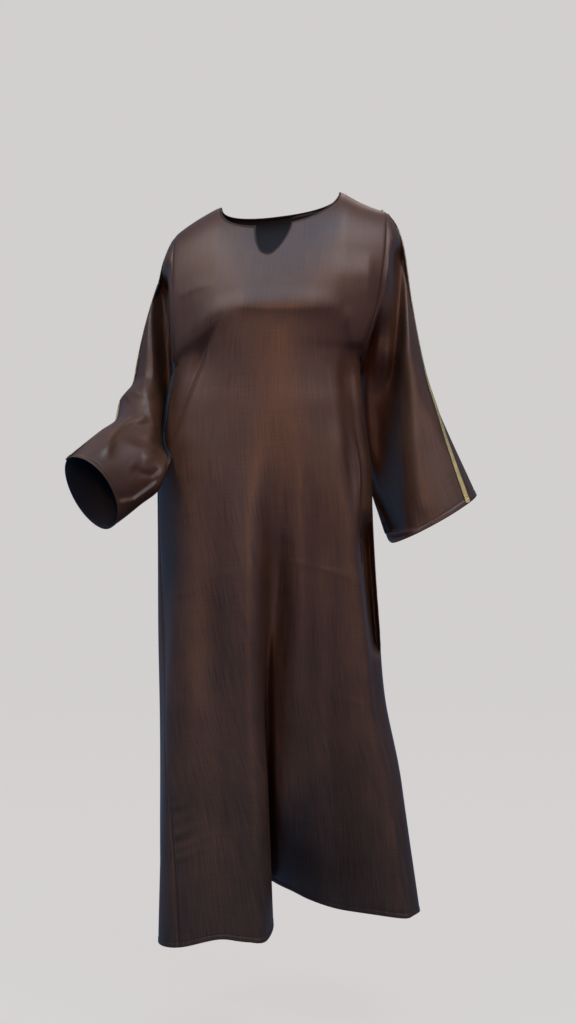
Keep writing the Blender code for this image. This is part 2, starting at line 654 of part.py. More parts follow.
def clear_of_body(rings):
    """The rings, with points too near to the body below the armholes moved out from it."""
    angle, along = np.meshgrid(np.arange(0, 360, 1.5), np.linspace(ARMHOLE_LENGTH, 0.66, 80))
    surface = body_surface(angle, along).reshape(-1, 3)
    out = body_normal(angle, along, "front").reshape(-1, 3)
    tree = KDTree(len(surface))
    for index, point in enumerate(surface):
        tree.insert(point, index)
    tree.balance()
    nearest = np.array([[tree.find(point)[1] for point in ring] for ring in rings])
    distance = np.sum((rings - surface[nearest]) * out[nearest], axis=-1)
    least = np.full(len(rings), SLEEVE_CLEARANCE)
    least[0] = ARMHOLE_GAP / 2
    counts = ease((CLEAR_FROM - rings[..., 2]) / CLEAR_FADE)
    short = np.maximum(least[:, None] - distance, 0) * counts
    return rings + out[nearest] * short[..., None]


def sleeve_grid(side):
    """A sleeve's outer points and outward directions, a row for each ring."""
    steps = np.linspace(0, 1, SLEEVE_RINGS)
    parts = 0.25 * steps + 0.75 * steps ** 1.2
    around = np.arange(SLEEVE_AROUND) * 360 / SLEEVE_AROUND
    turns = RIBBON.at(side, parts)[:, None] + around[None, :]
    parts = np.repeat(parts[:, None], SLEEVE_AROUND, axis=1)
    outer = sleeve_surface(side, turns, parts)
    body_out = armhole_loop(side, turns[0])[1]
    tangent = np.roll(outer[0], -1, axis=0) - np.roll(outer[0], 1, axis=0)
    away = unit(np.cross(tangent, body_out))
    if np.dot(away[0], outer[1, 0] - outer[0, 0]) < 0:
        away = -away
    outer[0] += away * ARMHOLE_GAP
    outer = clear_of_body(outer)
    around = np.roll(outer, -1, axis=1) - np.roll(outer, 1, axis=1)
    down = np.gradient(outer, axis=0)
    out = unit(np.cross(down, around)) * (1 if side == "left" else -1)
    leaning = np.maximum(np.sum(out[0] * away, axis=-1, keepdims=True), 0)
    out[0] = unit(out[0] - away * leaning)
    return outer, out


def add_sleeve(side):
    outer, out = sleeve_grid(side)
    return add_shell("sleeve_" + side, outer, outer - out * WALL, out, "brown_crepe", closed=True)


def add_ribbon(side):
    """The braid along a sleeve, from the shoulder to the cuff, made from the sleeve's points."""
    outer, out = sleeve_grid(side)
    face, lift = [], []
    for offset in (-1.0, -0.5, 0.0, 0.5, 1.0):
        beside = int(np.sign(offset))
        span = np.linalg.norm(outer[:, beside] - outer[:, 0], axis=-1)
        share = abs(offset) * RIBBON_WIDTH / 2 / np.maximum(span, RIBBON_WIDTH)
        share = share[:, None]
        face.append(outer[:, 0] * (1 - share) + outer[:, beside] * share)
        lift.append(unit(out[:, 0] * (1 - share) + out[:, beside] * share))
    face, lift = np.stack(face, axis=1), np.stack(lift, axis=1)
    face[0] += (face[1] - face[0]) * RIBBON_INSET
    face[-1] += (face[-2] - face[-1]) * RIBBON_INSET
    inner = face + lift * RIBBON_LIFT
    raised = inner + lift * RIBBON_THICKNESS
    return add_shell("sleeve_ribbon_" + side, raised, inner, lift, "gold_braid")


def add_binding():
    """The strip that binds the neck opening, all round it."""
    runs = [run for run in FRONT_RUNS + BACK_RUNS if not run[0].startswith("shoulder")]
    rails = {}
    for outset in (0.0, BINDING_WIDTH):
        points, outs = [], []
        for run, count, _ in runs:
            panel = "back" if run == "neck_back" else "front"
            angle, along = top_edge(panel, run, outset, count)
            points.append(body_surface(angle, along)[:-1])
            outs.append(body_normal(angle, along, panel)[:-1])
        rails[outset] = np.concatenate(points), np.concatenate(outs)
    (inner_edge, inner_out), (outer_edge, outer_out) = rails[0.0], rails[BINDING_WIDTH]
    section = [inner_edge + inner_out * BINDING_RAISE, outer_edge + outer_out * BINDING_RAISE,
               outer_edge - outer_out * WALL, inner_edge - inner_out * WALL]
    points = np.stack(section, axis=1)
    count = len(points)
    faces = []
    for index in range(count):
        after = (index + 1) % count
        for corner in range(4):
            beside = (corner + 1) % 4
            faces.append([index * 4 + corner, after * 4 + corner,
                          after * 4 + beside, index * 4 + beside])
    low, high = points[count // 4, 3], points[count // 4, 0]
    first = faces[(count // 4) * 4]
    flat = points.reshape(-1, 3)
    normal = np.cross(flat[first[1]] - flat[first[0]], flat[first[3]] - flat[first[0]])
    if np.dot(normal, high - low) < 0:
        faces = [face[::-1] for face in faces]
    return add_piece("neck_binding", flat, faces, "dark_binding")


def main():
    for item in list(bpy.data.objects):
        bpy.data.objects.remove(item, do_unlink=True)
    add_panel("front", FRONT_RUNS, FRONT_LINES)
    add_panel("back", BACK_RUNS)
    for side in ("right", "left"):
        add_sleeve(side)
        add_ribbon(side)
    add_binding()


main()
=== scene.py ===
"""An abaya of brown satin crepe with gold braid down its sleeves, dressed over its solids.

Left and right are those of someone who looks at the front, which faces -Y. Every length is in
metres. The cloth follows the same sections, folds and rings as the solids, sampled finely.
Folds, small creases, seams, hems, stitches and braid are added to them.
"""

import json

import bpy
import numpy as np
from mathutils import Vector, noise
from mathutils.kdtree import KDTree
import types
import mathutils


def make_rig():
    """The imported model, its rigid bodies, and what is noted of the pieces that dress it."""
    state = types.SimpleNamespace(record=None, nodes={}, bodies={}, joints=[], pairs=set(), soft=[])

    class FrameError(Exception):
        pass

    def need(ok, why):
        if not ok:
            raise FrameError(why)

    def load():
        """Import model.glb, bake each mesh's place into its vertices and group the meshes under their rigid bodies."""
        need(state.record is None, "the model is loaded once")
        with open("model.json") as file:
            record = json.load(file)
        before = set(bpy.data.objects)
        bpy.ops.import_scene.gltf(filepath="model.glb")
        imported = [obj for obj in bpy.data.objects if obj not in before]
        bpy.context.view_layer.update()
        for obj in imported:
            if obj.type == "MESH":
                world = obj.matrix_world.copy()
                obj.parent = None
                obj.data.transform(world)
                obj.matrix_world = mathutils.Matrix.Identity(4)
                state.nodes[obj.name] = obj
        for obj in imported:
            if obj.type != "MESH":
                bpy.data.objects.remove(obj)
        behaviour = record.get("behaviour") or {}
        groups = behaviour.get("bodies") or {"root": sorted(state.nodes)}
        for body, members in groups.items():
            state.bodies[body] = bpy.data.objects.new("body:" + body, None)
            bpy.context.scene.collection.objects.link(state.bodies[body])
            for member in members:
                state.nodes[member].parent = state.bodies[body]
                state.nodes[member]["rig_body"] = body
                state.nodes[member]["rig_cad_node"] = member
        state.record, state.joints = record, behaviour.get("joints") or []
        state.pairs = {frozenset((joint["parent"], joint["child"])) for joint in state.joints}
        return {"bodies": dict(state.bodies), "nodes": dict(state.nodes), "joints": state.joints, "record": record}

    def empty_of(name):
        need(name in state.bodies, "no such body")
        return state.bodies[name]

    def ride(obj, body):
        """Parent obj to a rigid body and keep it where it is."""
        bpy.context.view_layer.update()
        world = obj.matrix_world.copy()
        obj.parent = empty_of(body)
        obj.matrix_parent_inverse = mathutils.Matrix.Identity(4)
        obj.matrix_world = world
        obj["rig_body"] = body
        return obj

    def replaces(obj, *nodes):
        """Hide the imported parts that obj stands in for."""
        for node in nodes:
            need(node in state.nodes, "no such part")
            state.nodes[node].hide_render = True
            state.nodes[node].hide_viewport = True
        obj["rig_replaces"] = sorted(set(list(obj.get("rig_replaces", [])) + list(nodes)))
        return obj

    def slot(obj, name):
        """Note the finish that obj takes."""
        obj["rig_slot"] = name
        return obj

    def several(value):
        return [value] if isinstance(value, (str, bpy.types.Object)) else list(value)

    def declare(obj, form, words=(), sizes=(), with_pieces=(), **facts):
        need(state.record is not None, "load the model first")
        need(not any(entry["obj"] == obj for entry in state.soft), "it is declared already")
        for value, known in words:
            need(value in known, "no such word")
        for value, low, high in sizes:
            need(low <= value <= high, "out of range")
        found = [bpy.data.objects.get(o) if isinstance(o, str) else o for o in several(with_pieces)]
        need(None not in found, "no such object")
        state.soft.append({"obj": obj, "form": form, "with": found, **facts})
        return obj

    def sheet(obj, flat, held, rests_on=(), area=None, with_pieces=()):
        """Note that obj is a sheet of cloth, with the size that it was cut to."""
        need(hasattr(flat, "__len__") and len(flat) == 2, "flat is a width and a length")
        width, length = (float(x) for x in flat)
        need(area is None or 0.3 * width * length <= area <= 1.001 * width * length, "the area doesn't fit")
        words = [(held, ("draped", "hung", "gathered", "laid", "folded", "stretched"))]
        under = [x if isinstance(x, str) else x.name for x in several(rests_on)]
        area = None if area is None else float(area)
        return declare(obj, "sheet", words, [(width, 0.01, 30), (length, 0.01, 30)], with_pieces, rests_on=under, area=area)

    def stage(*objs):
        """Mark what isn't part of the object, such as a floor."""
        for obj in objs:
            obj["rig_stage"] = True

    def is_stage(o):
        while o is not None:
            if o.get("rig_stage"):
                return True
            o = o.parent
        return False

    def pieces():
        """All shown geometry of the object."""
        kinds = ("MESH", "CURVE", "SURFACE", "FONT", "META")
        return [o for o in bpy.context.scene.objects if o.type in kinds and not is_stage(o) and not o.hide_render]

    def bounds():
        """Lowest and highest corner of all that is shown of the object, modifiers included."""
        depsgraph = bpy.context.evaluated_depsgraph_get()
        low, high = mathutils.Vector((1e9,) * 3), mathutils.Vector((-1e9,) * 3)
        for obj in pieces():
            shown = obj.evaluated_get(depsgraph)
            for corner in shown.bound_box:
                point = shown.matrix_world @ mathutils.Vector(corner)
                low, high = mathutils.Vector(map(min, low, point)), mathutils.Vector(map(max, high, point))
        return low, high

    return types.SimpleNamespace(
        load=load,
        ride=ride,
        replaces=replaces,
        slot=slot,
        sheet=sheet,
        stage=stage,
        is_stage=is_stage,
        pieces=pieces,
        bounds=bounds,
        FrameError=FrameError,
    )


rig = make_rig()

bl_info = {
    "name": "Abaya",
    "version": (1, 0, 0),
    "blender": (4, 5, 0),
    "location": "3D View > Sidebar > Abaya",
    "description": "Makes a satin crepe abaya with braided sleeves",
    "category": "Object",
}

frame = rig.load()
CAD_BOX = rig.bounds()
SIZE_FILE = "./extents.json"

# Neckline and shoulders
NECK_MID = -0.003
NECK_HALF_WIDTH = 0.1035
NECK_DROP = 0.054
NECK_ROUND = {"left": 2.7, "right": 2.0}
BACK_NECK_DROP = 0.020
BACK_NECK_ROUND = 2.3
NOTCH_SIDE = {"left": -0.0446, "right": 0.0163}
NOTCH_BOTTOM = -0.0202
NOTCH_DEPTH = 0.052
NOTCH_ROUND = {"left": 2.6, "right": 1.4}
SHOULDER_TILT = 0.107
SHOULDER_SLOPES = {"left": 0.38, "right": 0.80}
SHOULDER_BENDS = {"left": 1.8, "right": -2.7}
SHOULDER_EASE = 0.012
SHOULDER_FADE = 0.45

# The shoulder seam: how far down the cloth both panels face alike, and half its gap
SHOULDER_SEAM = 0.001
HALF_GAP = 0.0001

# Armholes, down the cloth from the shoulder seam, and how far they open to front and back; and
# how much further forward the body is for each metre to the right
ARMHOLE_LENGTH = 0.34
ARMHOLE_FRONT = 0.058
ARMHOLE_BACK = 0.062
CHEST_TURN = 0.12

# How near a sleeve comes to the body, the share of that at its seam, how far down it starts to
# count, the rows over which it grows to its full value, and how far down the body and how finely
# it is looked for
SLEEVE_CLEARANCE = 0.0016
CLEAR_AT_SEAM = 0.125
CLEAR_FROM = -0.275
CLEAR_FADE = 0.02
CLEAR_ROWS = 14
CLEAR_TO = 0.66
CLEAR_LEVELS = 110

# From here to the hem the sections swing, slowly at first, from the smooth body to the folded
# hem. Both are distances down the cloth.
DRAPE_START = 0.42
HEM_ALONG = 1.32
DRAPE_POWER = 1.6

# Sections of the body, a row for each distance down the cloth. front and back are depths from
# the middle plane, mid_x and half_width place the two sides, square is the section's exponent
# and edge its power towards the sides: 1 where they are armholes, 0.5 where they are round.
BODY_COLUMNS = ("along", "drop", "front", "back", "mid_x", "half_width", "square", "edge")
BODY_ROWS = (
    (0.00, 0.000, 0.000, 0.000, -0.003, 0.185, 3.0, 1.00),
    (0.02, 0.004, 0.020, 0.020, -0.003, 0.186, 3.0, 1.00),
    (0.05, 0.017, 0.046, 0.044, -0.004, 0.187, 3.0, 1.00),
    (0.08, 0.037, 0.066, 0.062, -0.005, 0.187, 3.0, 1.00),
    (0.12, 0.072, 0.085, 0.077, -0.007, 0.186, 2.9, 1.00),
    (0.16, 0.108, 0.100, 0.087, -0.010, 0.183, 2.8, 1.00),
    (0.22, 0.165, 0.120, 0.096, -0.016, 0.176, 2.6, 1.00),
    (0.26, 0.203, 0.130, 0.098, -0.021, 0.170, 2.5, 0.95),
    (0.30, 0.243, 0.128, 0.098, -0.025, 0.165, 2.4, 0.88),
    (0.34, 0.283, 0.126, 0.097, -0.0270, 0.1650, 2.3, 0.80),
    (0.38, 0.323, 0.126, 0.097, -0.0295, 0.1695, 2.2, 0.65),
    (0.42, 0.363, 0.128, 0.099, -0.0310, 0.1750, 2.1, 0.55),
    (0.46, 0.403, 0.130, 0.103, -0.0328, 0.1802, 2.0, 0.52),
    (0.50, 0.443, 0.132, 0.108, -0.0335, 0.1855, 2.0, 0.50),
    (0.54, 0.483, 0.134, 0.112, -0.0330, 0.1890, 2.0, 0.50),
    (0.60, 0.543, 0.137, 0.118, -0.0345, 0.1875, 2.0, 0.50),
    (0.80, 0.743, 0.142, 0.125, -0.0370, 0.1850, 2.0, 0.50),
    (0.95, 0.893, 0.142, 0.128, -0.0420, 0.1800, 2.0, 0.50),
    (1.10, 1.043, 0.145, 0.130, -0.0325, 0.1895, 2.0, 0.50),
    (1.32, 1.263, 0.150, 0.130, -0.0310, 0.1910, 2.0, 0.50),
)

# The hem seen from above. at is the angle round the body: 0 left, 90 front, 180 right, 270 back.
HEM_COLUMNS = ("at", "x", "y", "z")
HEM_ROWS = (
    (0, -0.212, 0.000, -1.289),
    (22, -0.205, -0.080, -1.289),
    (45, -0.172, -0.155, -1.283),
    (62, -0.110, -0.192, -1.263),
    (76, -0.055, -0.188, -1.265),
    (84, -0.022, -0.172, -1.263),
    (88, -0.0144, -0.140, -1.250),
    (92, -0.022, -0.090, -1.235),
    (97, -0.034, -0.035, -1.215),
    (102, -0.022, 0.004, -1.209),
    (108, 0.010, -0.008, -1.217),
    (116, 0.045, -0.036, -1.228),
    (128, 0.100, -0.075, -1.238),
    (142, 0.160, -0.110, -1.239),
    (156, 0.211, -0.125, -1.240),
    (166, 0.234, -0.103, -1.236),
    (180, 0.232, -0.030, -1.242),
    (200, 0.215, 0.070, -1.252),
    (225, 0.150, 0.150, -1.254),
    (250, 0.060, 0.172, -1.244),
    (270, -0.010, 0.162, -1.237),
    (290, -0.080, 0.178, -1.246),
    (315, -0.158, 0.146, -1.268),
    (340, -0.206, 0.072, -1.285),
)

# Where the side seams run, as angles round the body
SEAM_COLUMNS = ("along", "left", "right")
SEAM_ROWS = (
    (0.00, 0.0, 180.0),
    (0.38, 0.0, 180.0),
    (0.56, 8.0, 184.0),
    (0.76, 21.0, 188.0),
    (0.96, 31.0, 192.0),
    (1.12, 40.0, 196.0),
    (1.32, 45.0, 198.0),
)

# Soft folds of the body, with the columns at, width, depth, start, full and drift. at and drift
# are degrees, at the hem and from there to the start; depth is outward. Each runs from start,
# is at its full size from full on, and goes down to the hem.
FOLD_ROWS = (
    (28, 20, 0.010, 0.50, 1.00, 25),
    (64, 14, -0.012, 0.55, 0.90, -4),
    (82, 10, 0.010, 0.45, 0.95, 0),
    (99, 13, -0.030, 0.40, 1.00, 0),
    (132, 12, -0.012, 0.45, 0.75, -12),
    (150, 12, 0.012, 0.30, 0.60, -10),
    (214, 15, -0.020, 0.40, 1.10, -6),
    (240, 16, 0.016, 0.30, 1.10, 4),
    (258, 13, -0.022, 0.40, 1.15, 8),
    (283, 15, 0.018, 0.30, 1.10, -4),
    (303, 14, -0.022, 0.45, 1.15, -8),
    (328, 16, 0.014, 0.50, 1.15, -8),
)

# Columns of the panels. Each run of the top edge gets so many, and ends at this share of the
# width across the bust.
FRONT_RUNS = (
    ("shoulder_left", 20, 0.150),
    ("neck_left", 24, 0.310),
    ("notch_left", 24, 0.430),
    ("notch_right", 24, 0.540),
    ("neck_right", 24, 0.790),
    ("shoulder_right", 20, 1.000),
)
BACK_RUNS = (
    ("shoulder_right", 14, 0.170),
    ("neck_back", 60, 0.830),
    ("shoulder_left", 14, 1.000),
)

# The edge and the bottom of the deep front fold, as a column and its angle round the body, and
# the share of the skirt from which the columns are held there
FRONT_LINES = ((32, 88.0), (60, 102.0))
HOLD_FROM = 0.45

# Sleeves, a row for each ring from the armhole to the cuff. The outer and the under point
# place it and front and back are its bulges, of which the front one points at facing: 0 is
# straight ahead and 90 to the right. pinch draws its under corner in, and half as much its
# outer one, and dip lowers its front.
SLEEVE_COLUMNS = ("part", "outer_x", "outer_y", "outer_z", "under_x", "under_y", "under_z",
                  "front", "back", "facing", "pinch", "dip")
RIGHT_SLEEVE_ROWS = (
    (0.00, 0.182, 0.000, -0.026, 0.138, 0.000, -0.310, 0.060, 0.062, 0, 1.00, 0.000),
    (0.06, 0.200, -0.008, -0.052, 0.139, 0.012, -0.325, 0.062, 0.064, -6, 1.00, 0.000),
    (0.15, 0.212, -0.014, -0.094, 0.139, 0.024, -0.347, 0.064, 0.064, -12, 1.10, 0.000),
    (0.30, 0.223, -0.018, -0.163, 0.141, 0.031, -0.386, 0.066, 0.062, -12, 1.20, 0.000),
    (0.45, 0.236, -0.020, -0.238, 0.145, 0.037, -0.430, 0.066, 0.060, -10, 1.25, 0.000),
    (0.60, 0.254, -0.022, -0.318, 0.152, 0.037, -0.478, 0.065, 0.058, -6, 1.25, 0.000),
    (0.75, 0.281, -0.024, -0.388, 0.165, 0.022, -0.525, 0.064, 0.056, 0, 1.20, 0.002),
    (0.88, 0.311, -0.026, -0.456, 0.179, 0.000, -0.567, 0.062, 0.052, 4, 1.20, 0.004),
    (1.00, 0.341, -0.028, -0.522, 0.191, -0.020, -0.605, 0.060, 0.050, 4, 1.25, 0.006),
)
LEFT_SLEEVE_ROWS = (
    (0.00, -0.188, 0.000, -0.059, -0.191, 0.000, -0.325, 0.060, 0.062, 0, 1.00, 0.000),
    (0.06, -0.202, 0.004, -0.083, -0.198, -0.011, -0.336, 0.060, 0.062, 3, 1.00, 0.000),
    (0.15, -0.216, 0.010, -0.121, -0.198, -0.032, -0.360, 0.060, 0.062, 10, 1.20, 0.000),
    (0.30, -0.233, 0.020, -0.183, -0.193, -0.056, -0.398, 0.060, 0.062, 22, 1.50, 0.000),
    (0.45, -0.250, 0.028, -0.253, -0.193, -0.075, -0.440, 0.060, 0.062, 30, 1.60, 0.000),
    (0.58, -0.262, 0.028, -0.316, -0.198, -0.080, -0.476, 0.060, 0.062, 34, 1.45, 0.000),
    (0.66, -0.284, 0.010, -0.352, -0.206, -0.080, -0.500, 0.058, 0.060, 42, 1.30, 0.000),
    (0.74, -0.284, -0.028, -0.383, -0.215, -0.084, -0.517, 0.056, 0.054, 50, 1.15, 0.000),
    (0.84, -0.307, -0.078, -0.409, -0.243, -0.096, -0.540, 0.052, 0.046, 60, 1.05, 0.000),
    (0.92, -0.328, -0.128, -0.434, -0.270, -0.106, -0.561, 0.048, 0.040, 66, 1.02, 0.000),
    (1.00, -0.350, -0.180, -0.460, -0.297, -0.115, -0.581, 0.045, 0.034, 69, 1.02, 0.000),
)
# The share of a sleeve over which it leaves the armhole's outline
SLEEVE_BLEND = 0.35

# Folds of a sleeve, with the columns at, width, depth, start, end and drift: at, width and
# drift are degrees round it, start and end shares of its length
RIGHT_SLEEVE_FOLDS = (
    (62, 26, -0.012, 0.05, 0.75, 20),
    (112, 22, 0.008, 0.10, 1.30, 10),
    (30, 24, 0.006, 0.20, 1.30, 0),
    (285, 30, -0.012, 0.10, 1.20, -20),
)
LEFT_SLEEVE_FOLDS = (
    (75, 28, -0.012, 0.05, 0.62, 15),
    (40, 24, 0.006, 0.10, 0.95, 10),
    (300, 30, -0.012, 0.10, 0.90, -20),
)

# The ribbon's line on each sleeve, degrees in front of its outer line
RIBBON_COLUMNS = ("part", "right", "left")
RIBBON_ROWS = (
    (0.00, 0.0, -4.0),
    (0.12, -8.0, -15.0),
    (0.50, -4.0, -19.0),
    (0.66, 5.0, -13.0),
    (0.75, 15.0, -13.0),
    (0.85, 27.0, -16.0),
    (1.00, 40.0, -16.0),
)

# Where the viewer stands and looks
VIEWER = (0.0106, -3.0, -0.552)
VIEW_AXIS = np.array([0.0, 1.0, 0.0])

# Relief on the cloth, with the columns points, height, left, right, round, fade_in and
# fade_out. The points are x and z of a line as the viewer sees it on the middle plane. height is
# towards the viewer, left and right are its widths beside a line that runs down, round is 2 for
# a soft crest and 1 for a crisp one, and the fades are the shares of the line over which it
# begins and ends. The shifts of the sleeves, of the same columns, move both of their faces.
FRONT_RELIEF = (
    # Drag lines from the bust to the left side, a trough with a crisp right wall below a ridge
    (((-0.0974, -0.1909), (-0.1222, -0.2334), (-0.1399, -0.2741), (-0.1576, -0.3184),
      (-0.177, -0.3715), (-0.1947, -0.4246), (-0.2107, -0.4741)),
     -0.0120, 0.0124, 0.0053, 1.6, 0.30, 0.15),
    (((-0.1115, -0.2299), (-0.1292, -0.2741), (-0.1469, -0.3184), (-0.1664, -0.3715), (-0.1841, -0.4246)),
     0.0010, 0.0053, 0.0106, 1.5, 0.20, 0.20),
    (((-0.1027, -0.1874), (-0.1292, -0.2334), (-0.1487, -0.2741), (-0.1664, -0.3219), (-0.1859, -0.375)),
     0.0040, 0.0531, 0.0159, 2.0, 0.60, 0.30),
    (((-0.1788, -0.1945), (-0.177, -0.2476), (-0.1753, -0.3184), (-0.1806, -0.3715),
      (-0.1912, -0.4246), (-0.2018, -0.4777)),
     0.0140, 0.0177, 0.0266, 2.0, 0.35, 0.25),
    # The bust's right side and the edge of the armhole
    (((0.115, -0.1874), (0.1203, -0.2299), (0.1292, -0.2706), (0.1363, -0.3272), (0.1451, -0.3715),
      (0.1522, -0.4352)),
     0.0040, 0.0089, 0.0142, 1.5, 0.10, 0.30),
    (((0.1628, -0.1591), (0.1504, -0.2299), (0.138, -0.3095)), 0.0030, 0.0089, 0.0053, 1.6, 0.30, 0.20),
    (((0.154, -0.0847), (0.154, -0.1414), (0.1469, -0.2122), (0.1416, -0.2688)),
     0.0080, 0.0566, 0.0089, 1.6, 0.30, 0.10),
    # The edge of the bust, above which the cloth lies back
    (((-0.0956, -0.1874), (-0.039, -0.1909), (0.0495, -0.1909), (0.1186, -0.1874)),
     0.0026, 0.0106, 0.0389, 1.5, 0.15, 0.15),
    (((-0.2337, -0.3042), (-0.0744, -0.1803)), 0.0070, 0.0142, 0.0850, 2.0, 0.35, 0.45),
    # The long fold from the right armhole down to the right side
    (((0.1097, -0.2564), (0.1115, -0.3184), (0.1203, -0.4246), (0.1274, -0.5131), (0.1345, -0.5662)),
     -0.0170, 0.0106, 0.0230, 2.0, 0.20, 0.30),
    (((0.1487, -0.5396), (0.154, -0.637), (0.1664, -0.7432), (0.177, -0.814)),
     -0.0600, 0.0124, 0.0443, 3.0, 0.25, 0.12),
    (((0.1257, -0.2122), (0.1345, -0.3184), (0.1487, -0.4246), (0.154, -0.5131), (0.1575, -0.5662)),
     0.0040, 0.0124, 0.0142, 2.0, 0.25, 0.30),
    (((0.0991, -0.3272), (0.1044, -0.4246), (0.1133, -0.5308), (0.1274, -0.637), (0.1451, -0.7432)),
     0.0030, 0.0248, 0.0089, 1.6, 0.30, 0.20),
    # The long folds of the skirt, from left to right
    (((-0.1841, -0.4954), (-0.1983, -0.637), (-0.193, -0.7786), (-0.2, -0.9202)),
     0.0070, 0.0159, 0.0248, 2.0, 0.35, 0.35),
    (((-0.1133, -0.4777), (-0.1186, -0.637), (-0.1292, -0.7786), (-0.1452, -0.9202)),
     -0.0080, 0.0319, 0.0212, 2.0, 0.35, 0.35),
    (((-0.0832, -0.4954), (-0.0868, -0.637), (-0.0903, -0.7609), (-0.0991, -0.8848)),
     0.0026, 0.0071, 0.0142, 1.4, 0.20, 0.30),
    (((-0.0637, -0.4423), (-0.0567, -0.637), (-0.0496, -0.8848), (-0.0443, -1.0618), (-0.0407, -1.2211)),
     0.0050, 0.0283, 0.0142, 1.6, 0.35, 0.10),
    (((-0.0266, -0.4423), (-0.0266, -0.7078), (-0.023, -0.9113), (-0.0177, -1.0334),
      (-0.0142, -1.1326), (-0.0106, -1.2122)),
     -0.0040, 0.0071, 0.0283, 1.6, 0.30, 0.05),
    (((-0.0177, -0.637), (-0.0159, -0.7432), (-0.0142, -0.8848), (-0.0124, -0.991), (-0.0106, -1.0972),
      (-0.0053, -1.2388)),
     0.1000, 0.0089, 0.0478, 1.5, 1.00, 0.33),
    (((0.0318, -0.4954), (0.0318, -0.637), (0.0318, -0.7432), (0.0372, -0.8848), (0.0318, -1.0087)),
     0.0040, 0.0248, 0.0248, 2.0, 0.30, 0.30),
    (((0.0885, -0.5131), (0.0885, -0.637), (0.0849, -0.7609), (0.0814, -0.8848)),
     -0.0045, 0.0248, 0.0177, 2.0, 0.30, 0.30),
    # Faint creases left by folding and pressing
    (((-0.2018, -0.5679), (-0.1629, -0.552), (-0.1345, -0.5378)), 0.0005, 0.0053, 0.0053, 1.6, 0.30, 0.40),
    (((-0.2089, -0.7025), (-0.1576, -0.6936), (-0.1292, -0.6706), (-0.0708, -0.6529)),
     0.0008, 0.0053, 0.0053, 1.5, 0.20, 0.30),
    (((0.0106, -0.5131), (0.0849, -0.5272)), 0.0004, 0.0053, 0.0053, 1.6, 0.40, 0.40),
    (((-0.0124, -0.6317), (0.0584, -0.6494), (0.138, -0.6706)), 0.0009, 0.0053, 0.0044, 1.4, 0.15, 0.20),
    (((0.0159, -0.8494), (0.0513, -0.9025)), 0.0005, 0.0071, 0.0071, 1.6, 0.40, 0.40),
    (((0.0354, -0.975), (0.1168, -0.952)), 0.0005, 0.0071, 0.0071, 1.6, 0.40, 0.40),
    (((-0.0053, -1.0848), (0.0478, -1.0972), (0.1009, -1.0777)), 0.0007, 0.0071, 0.0071, 1.5, 0.30, 0.30),
    (((-0.0814, -0.968), (-0.0407, -0.9786)), 0.0005, 0.0053, 0.0053, 1.6, 0.30, 0.30),
    (((-0.0744, -1.1149), (-0.0337, -1.1219)), 0.0005, 0.0053, 0.0053, 1.6, 0.30, 0.30),
    (((0.0849, -0.8777), (0.177, -0.8989)), 0.0005, 0.0053, 0.0053, 1.6, 0.30, 0.30),
    (((-0.1859, -0.1732), (-0.1505, -0.1555), (-0.1115, -0.1467)), 0.0012, 0.0053, 0.0089, 1.5, 0.10, 0.50),
    (((0.1398, -0.152), (0.1628, -0.1697)), 0.0008, 0.0071, 0.0071, 1.5, 0.40, 0.20),
    (((-0.0036, -0.1361), (0.0177, -0.1343)), -0.0004, 0.0071, 0.0071, 2.0, 0.40, 0.40),
    # Small pulls at the bottom of the notch
    (((-0.0584, -0.083), (-0.0407, -0.09)), 0.0003, 0.0023, 0.0023, 1.6, 0.40, 0.10),
    (((-0.0496, -0.106), (-0.0319, -0.0971)), 0.0003, 0.0023, 0.0023, 1.6, 0.40, 0.10),
    (((0.0017, -0.1095), (-0.0053, -0.0953)), 0.0003, 0.0023, 0.0023, 1.6, 0.50, 0.10),
)
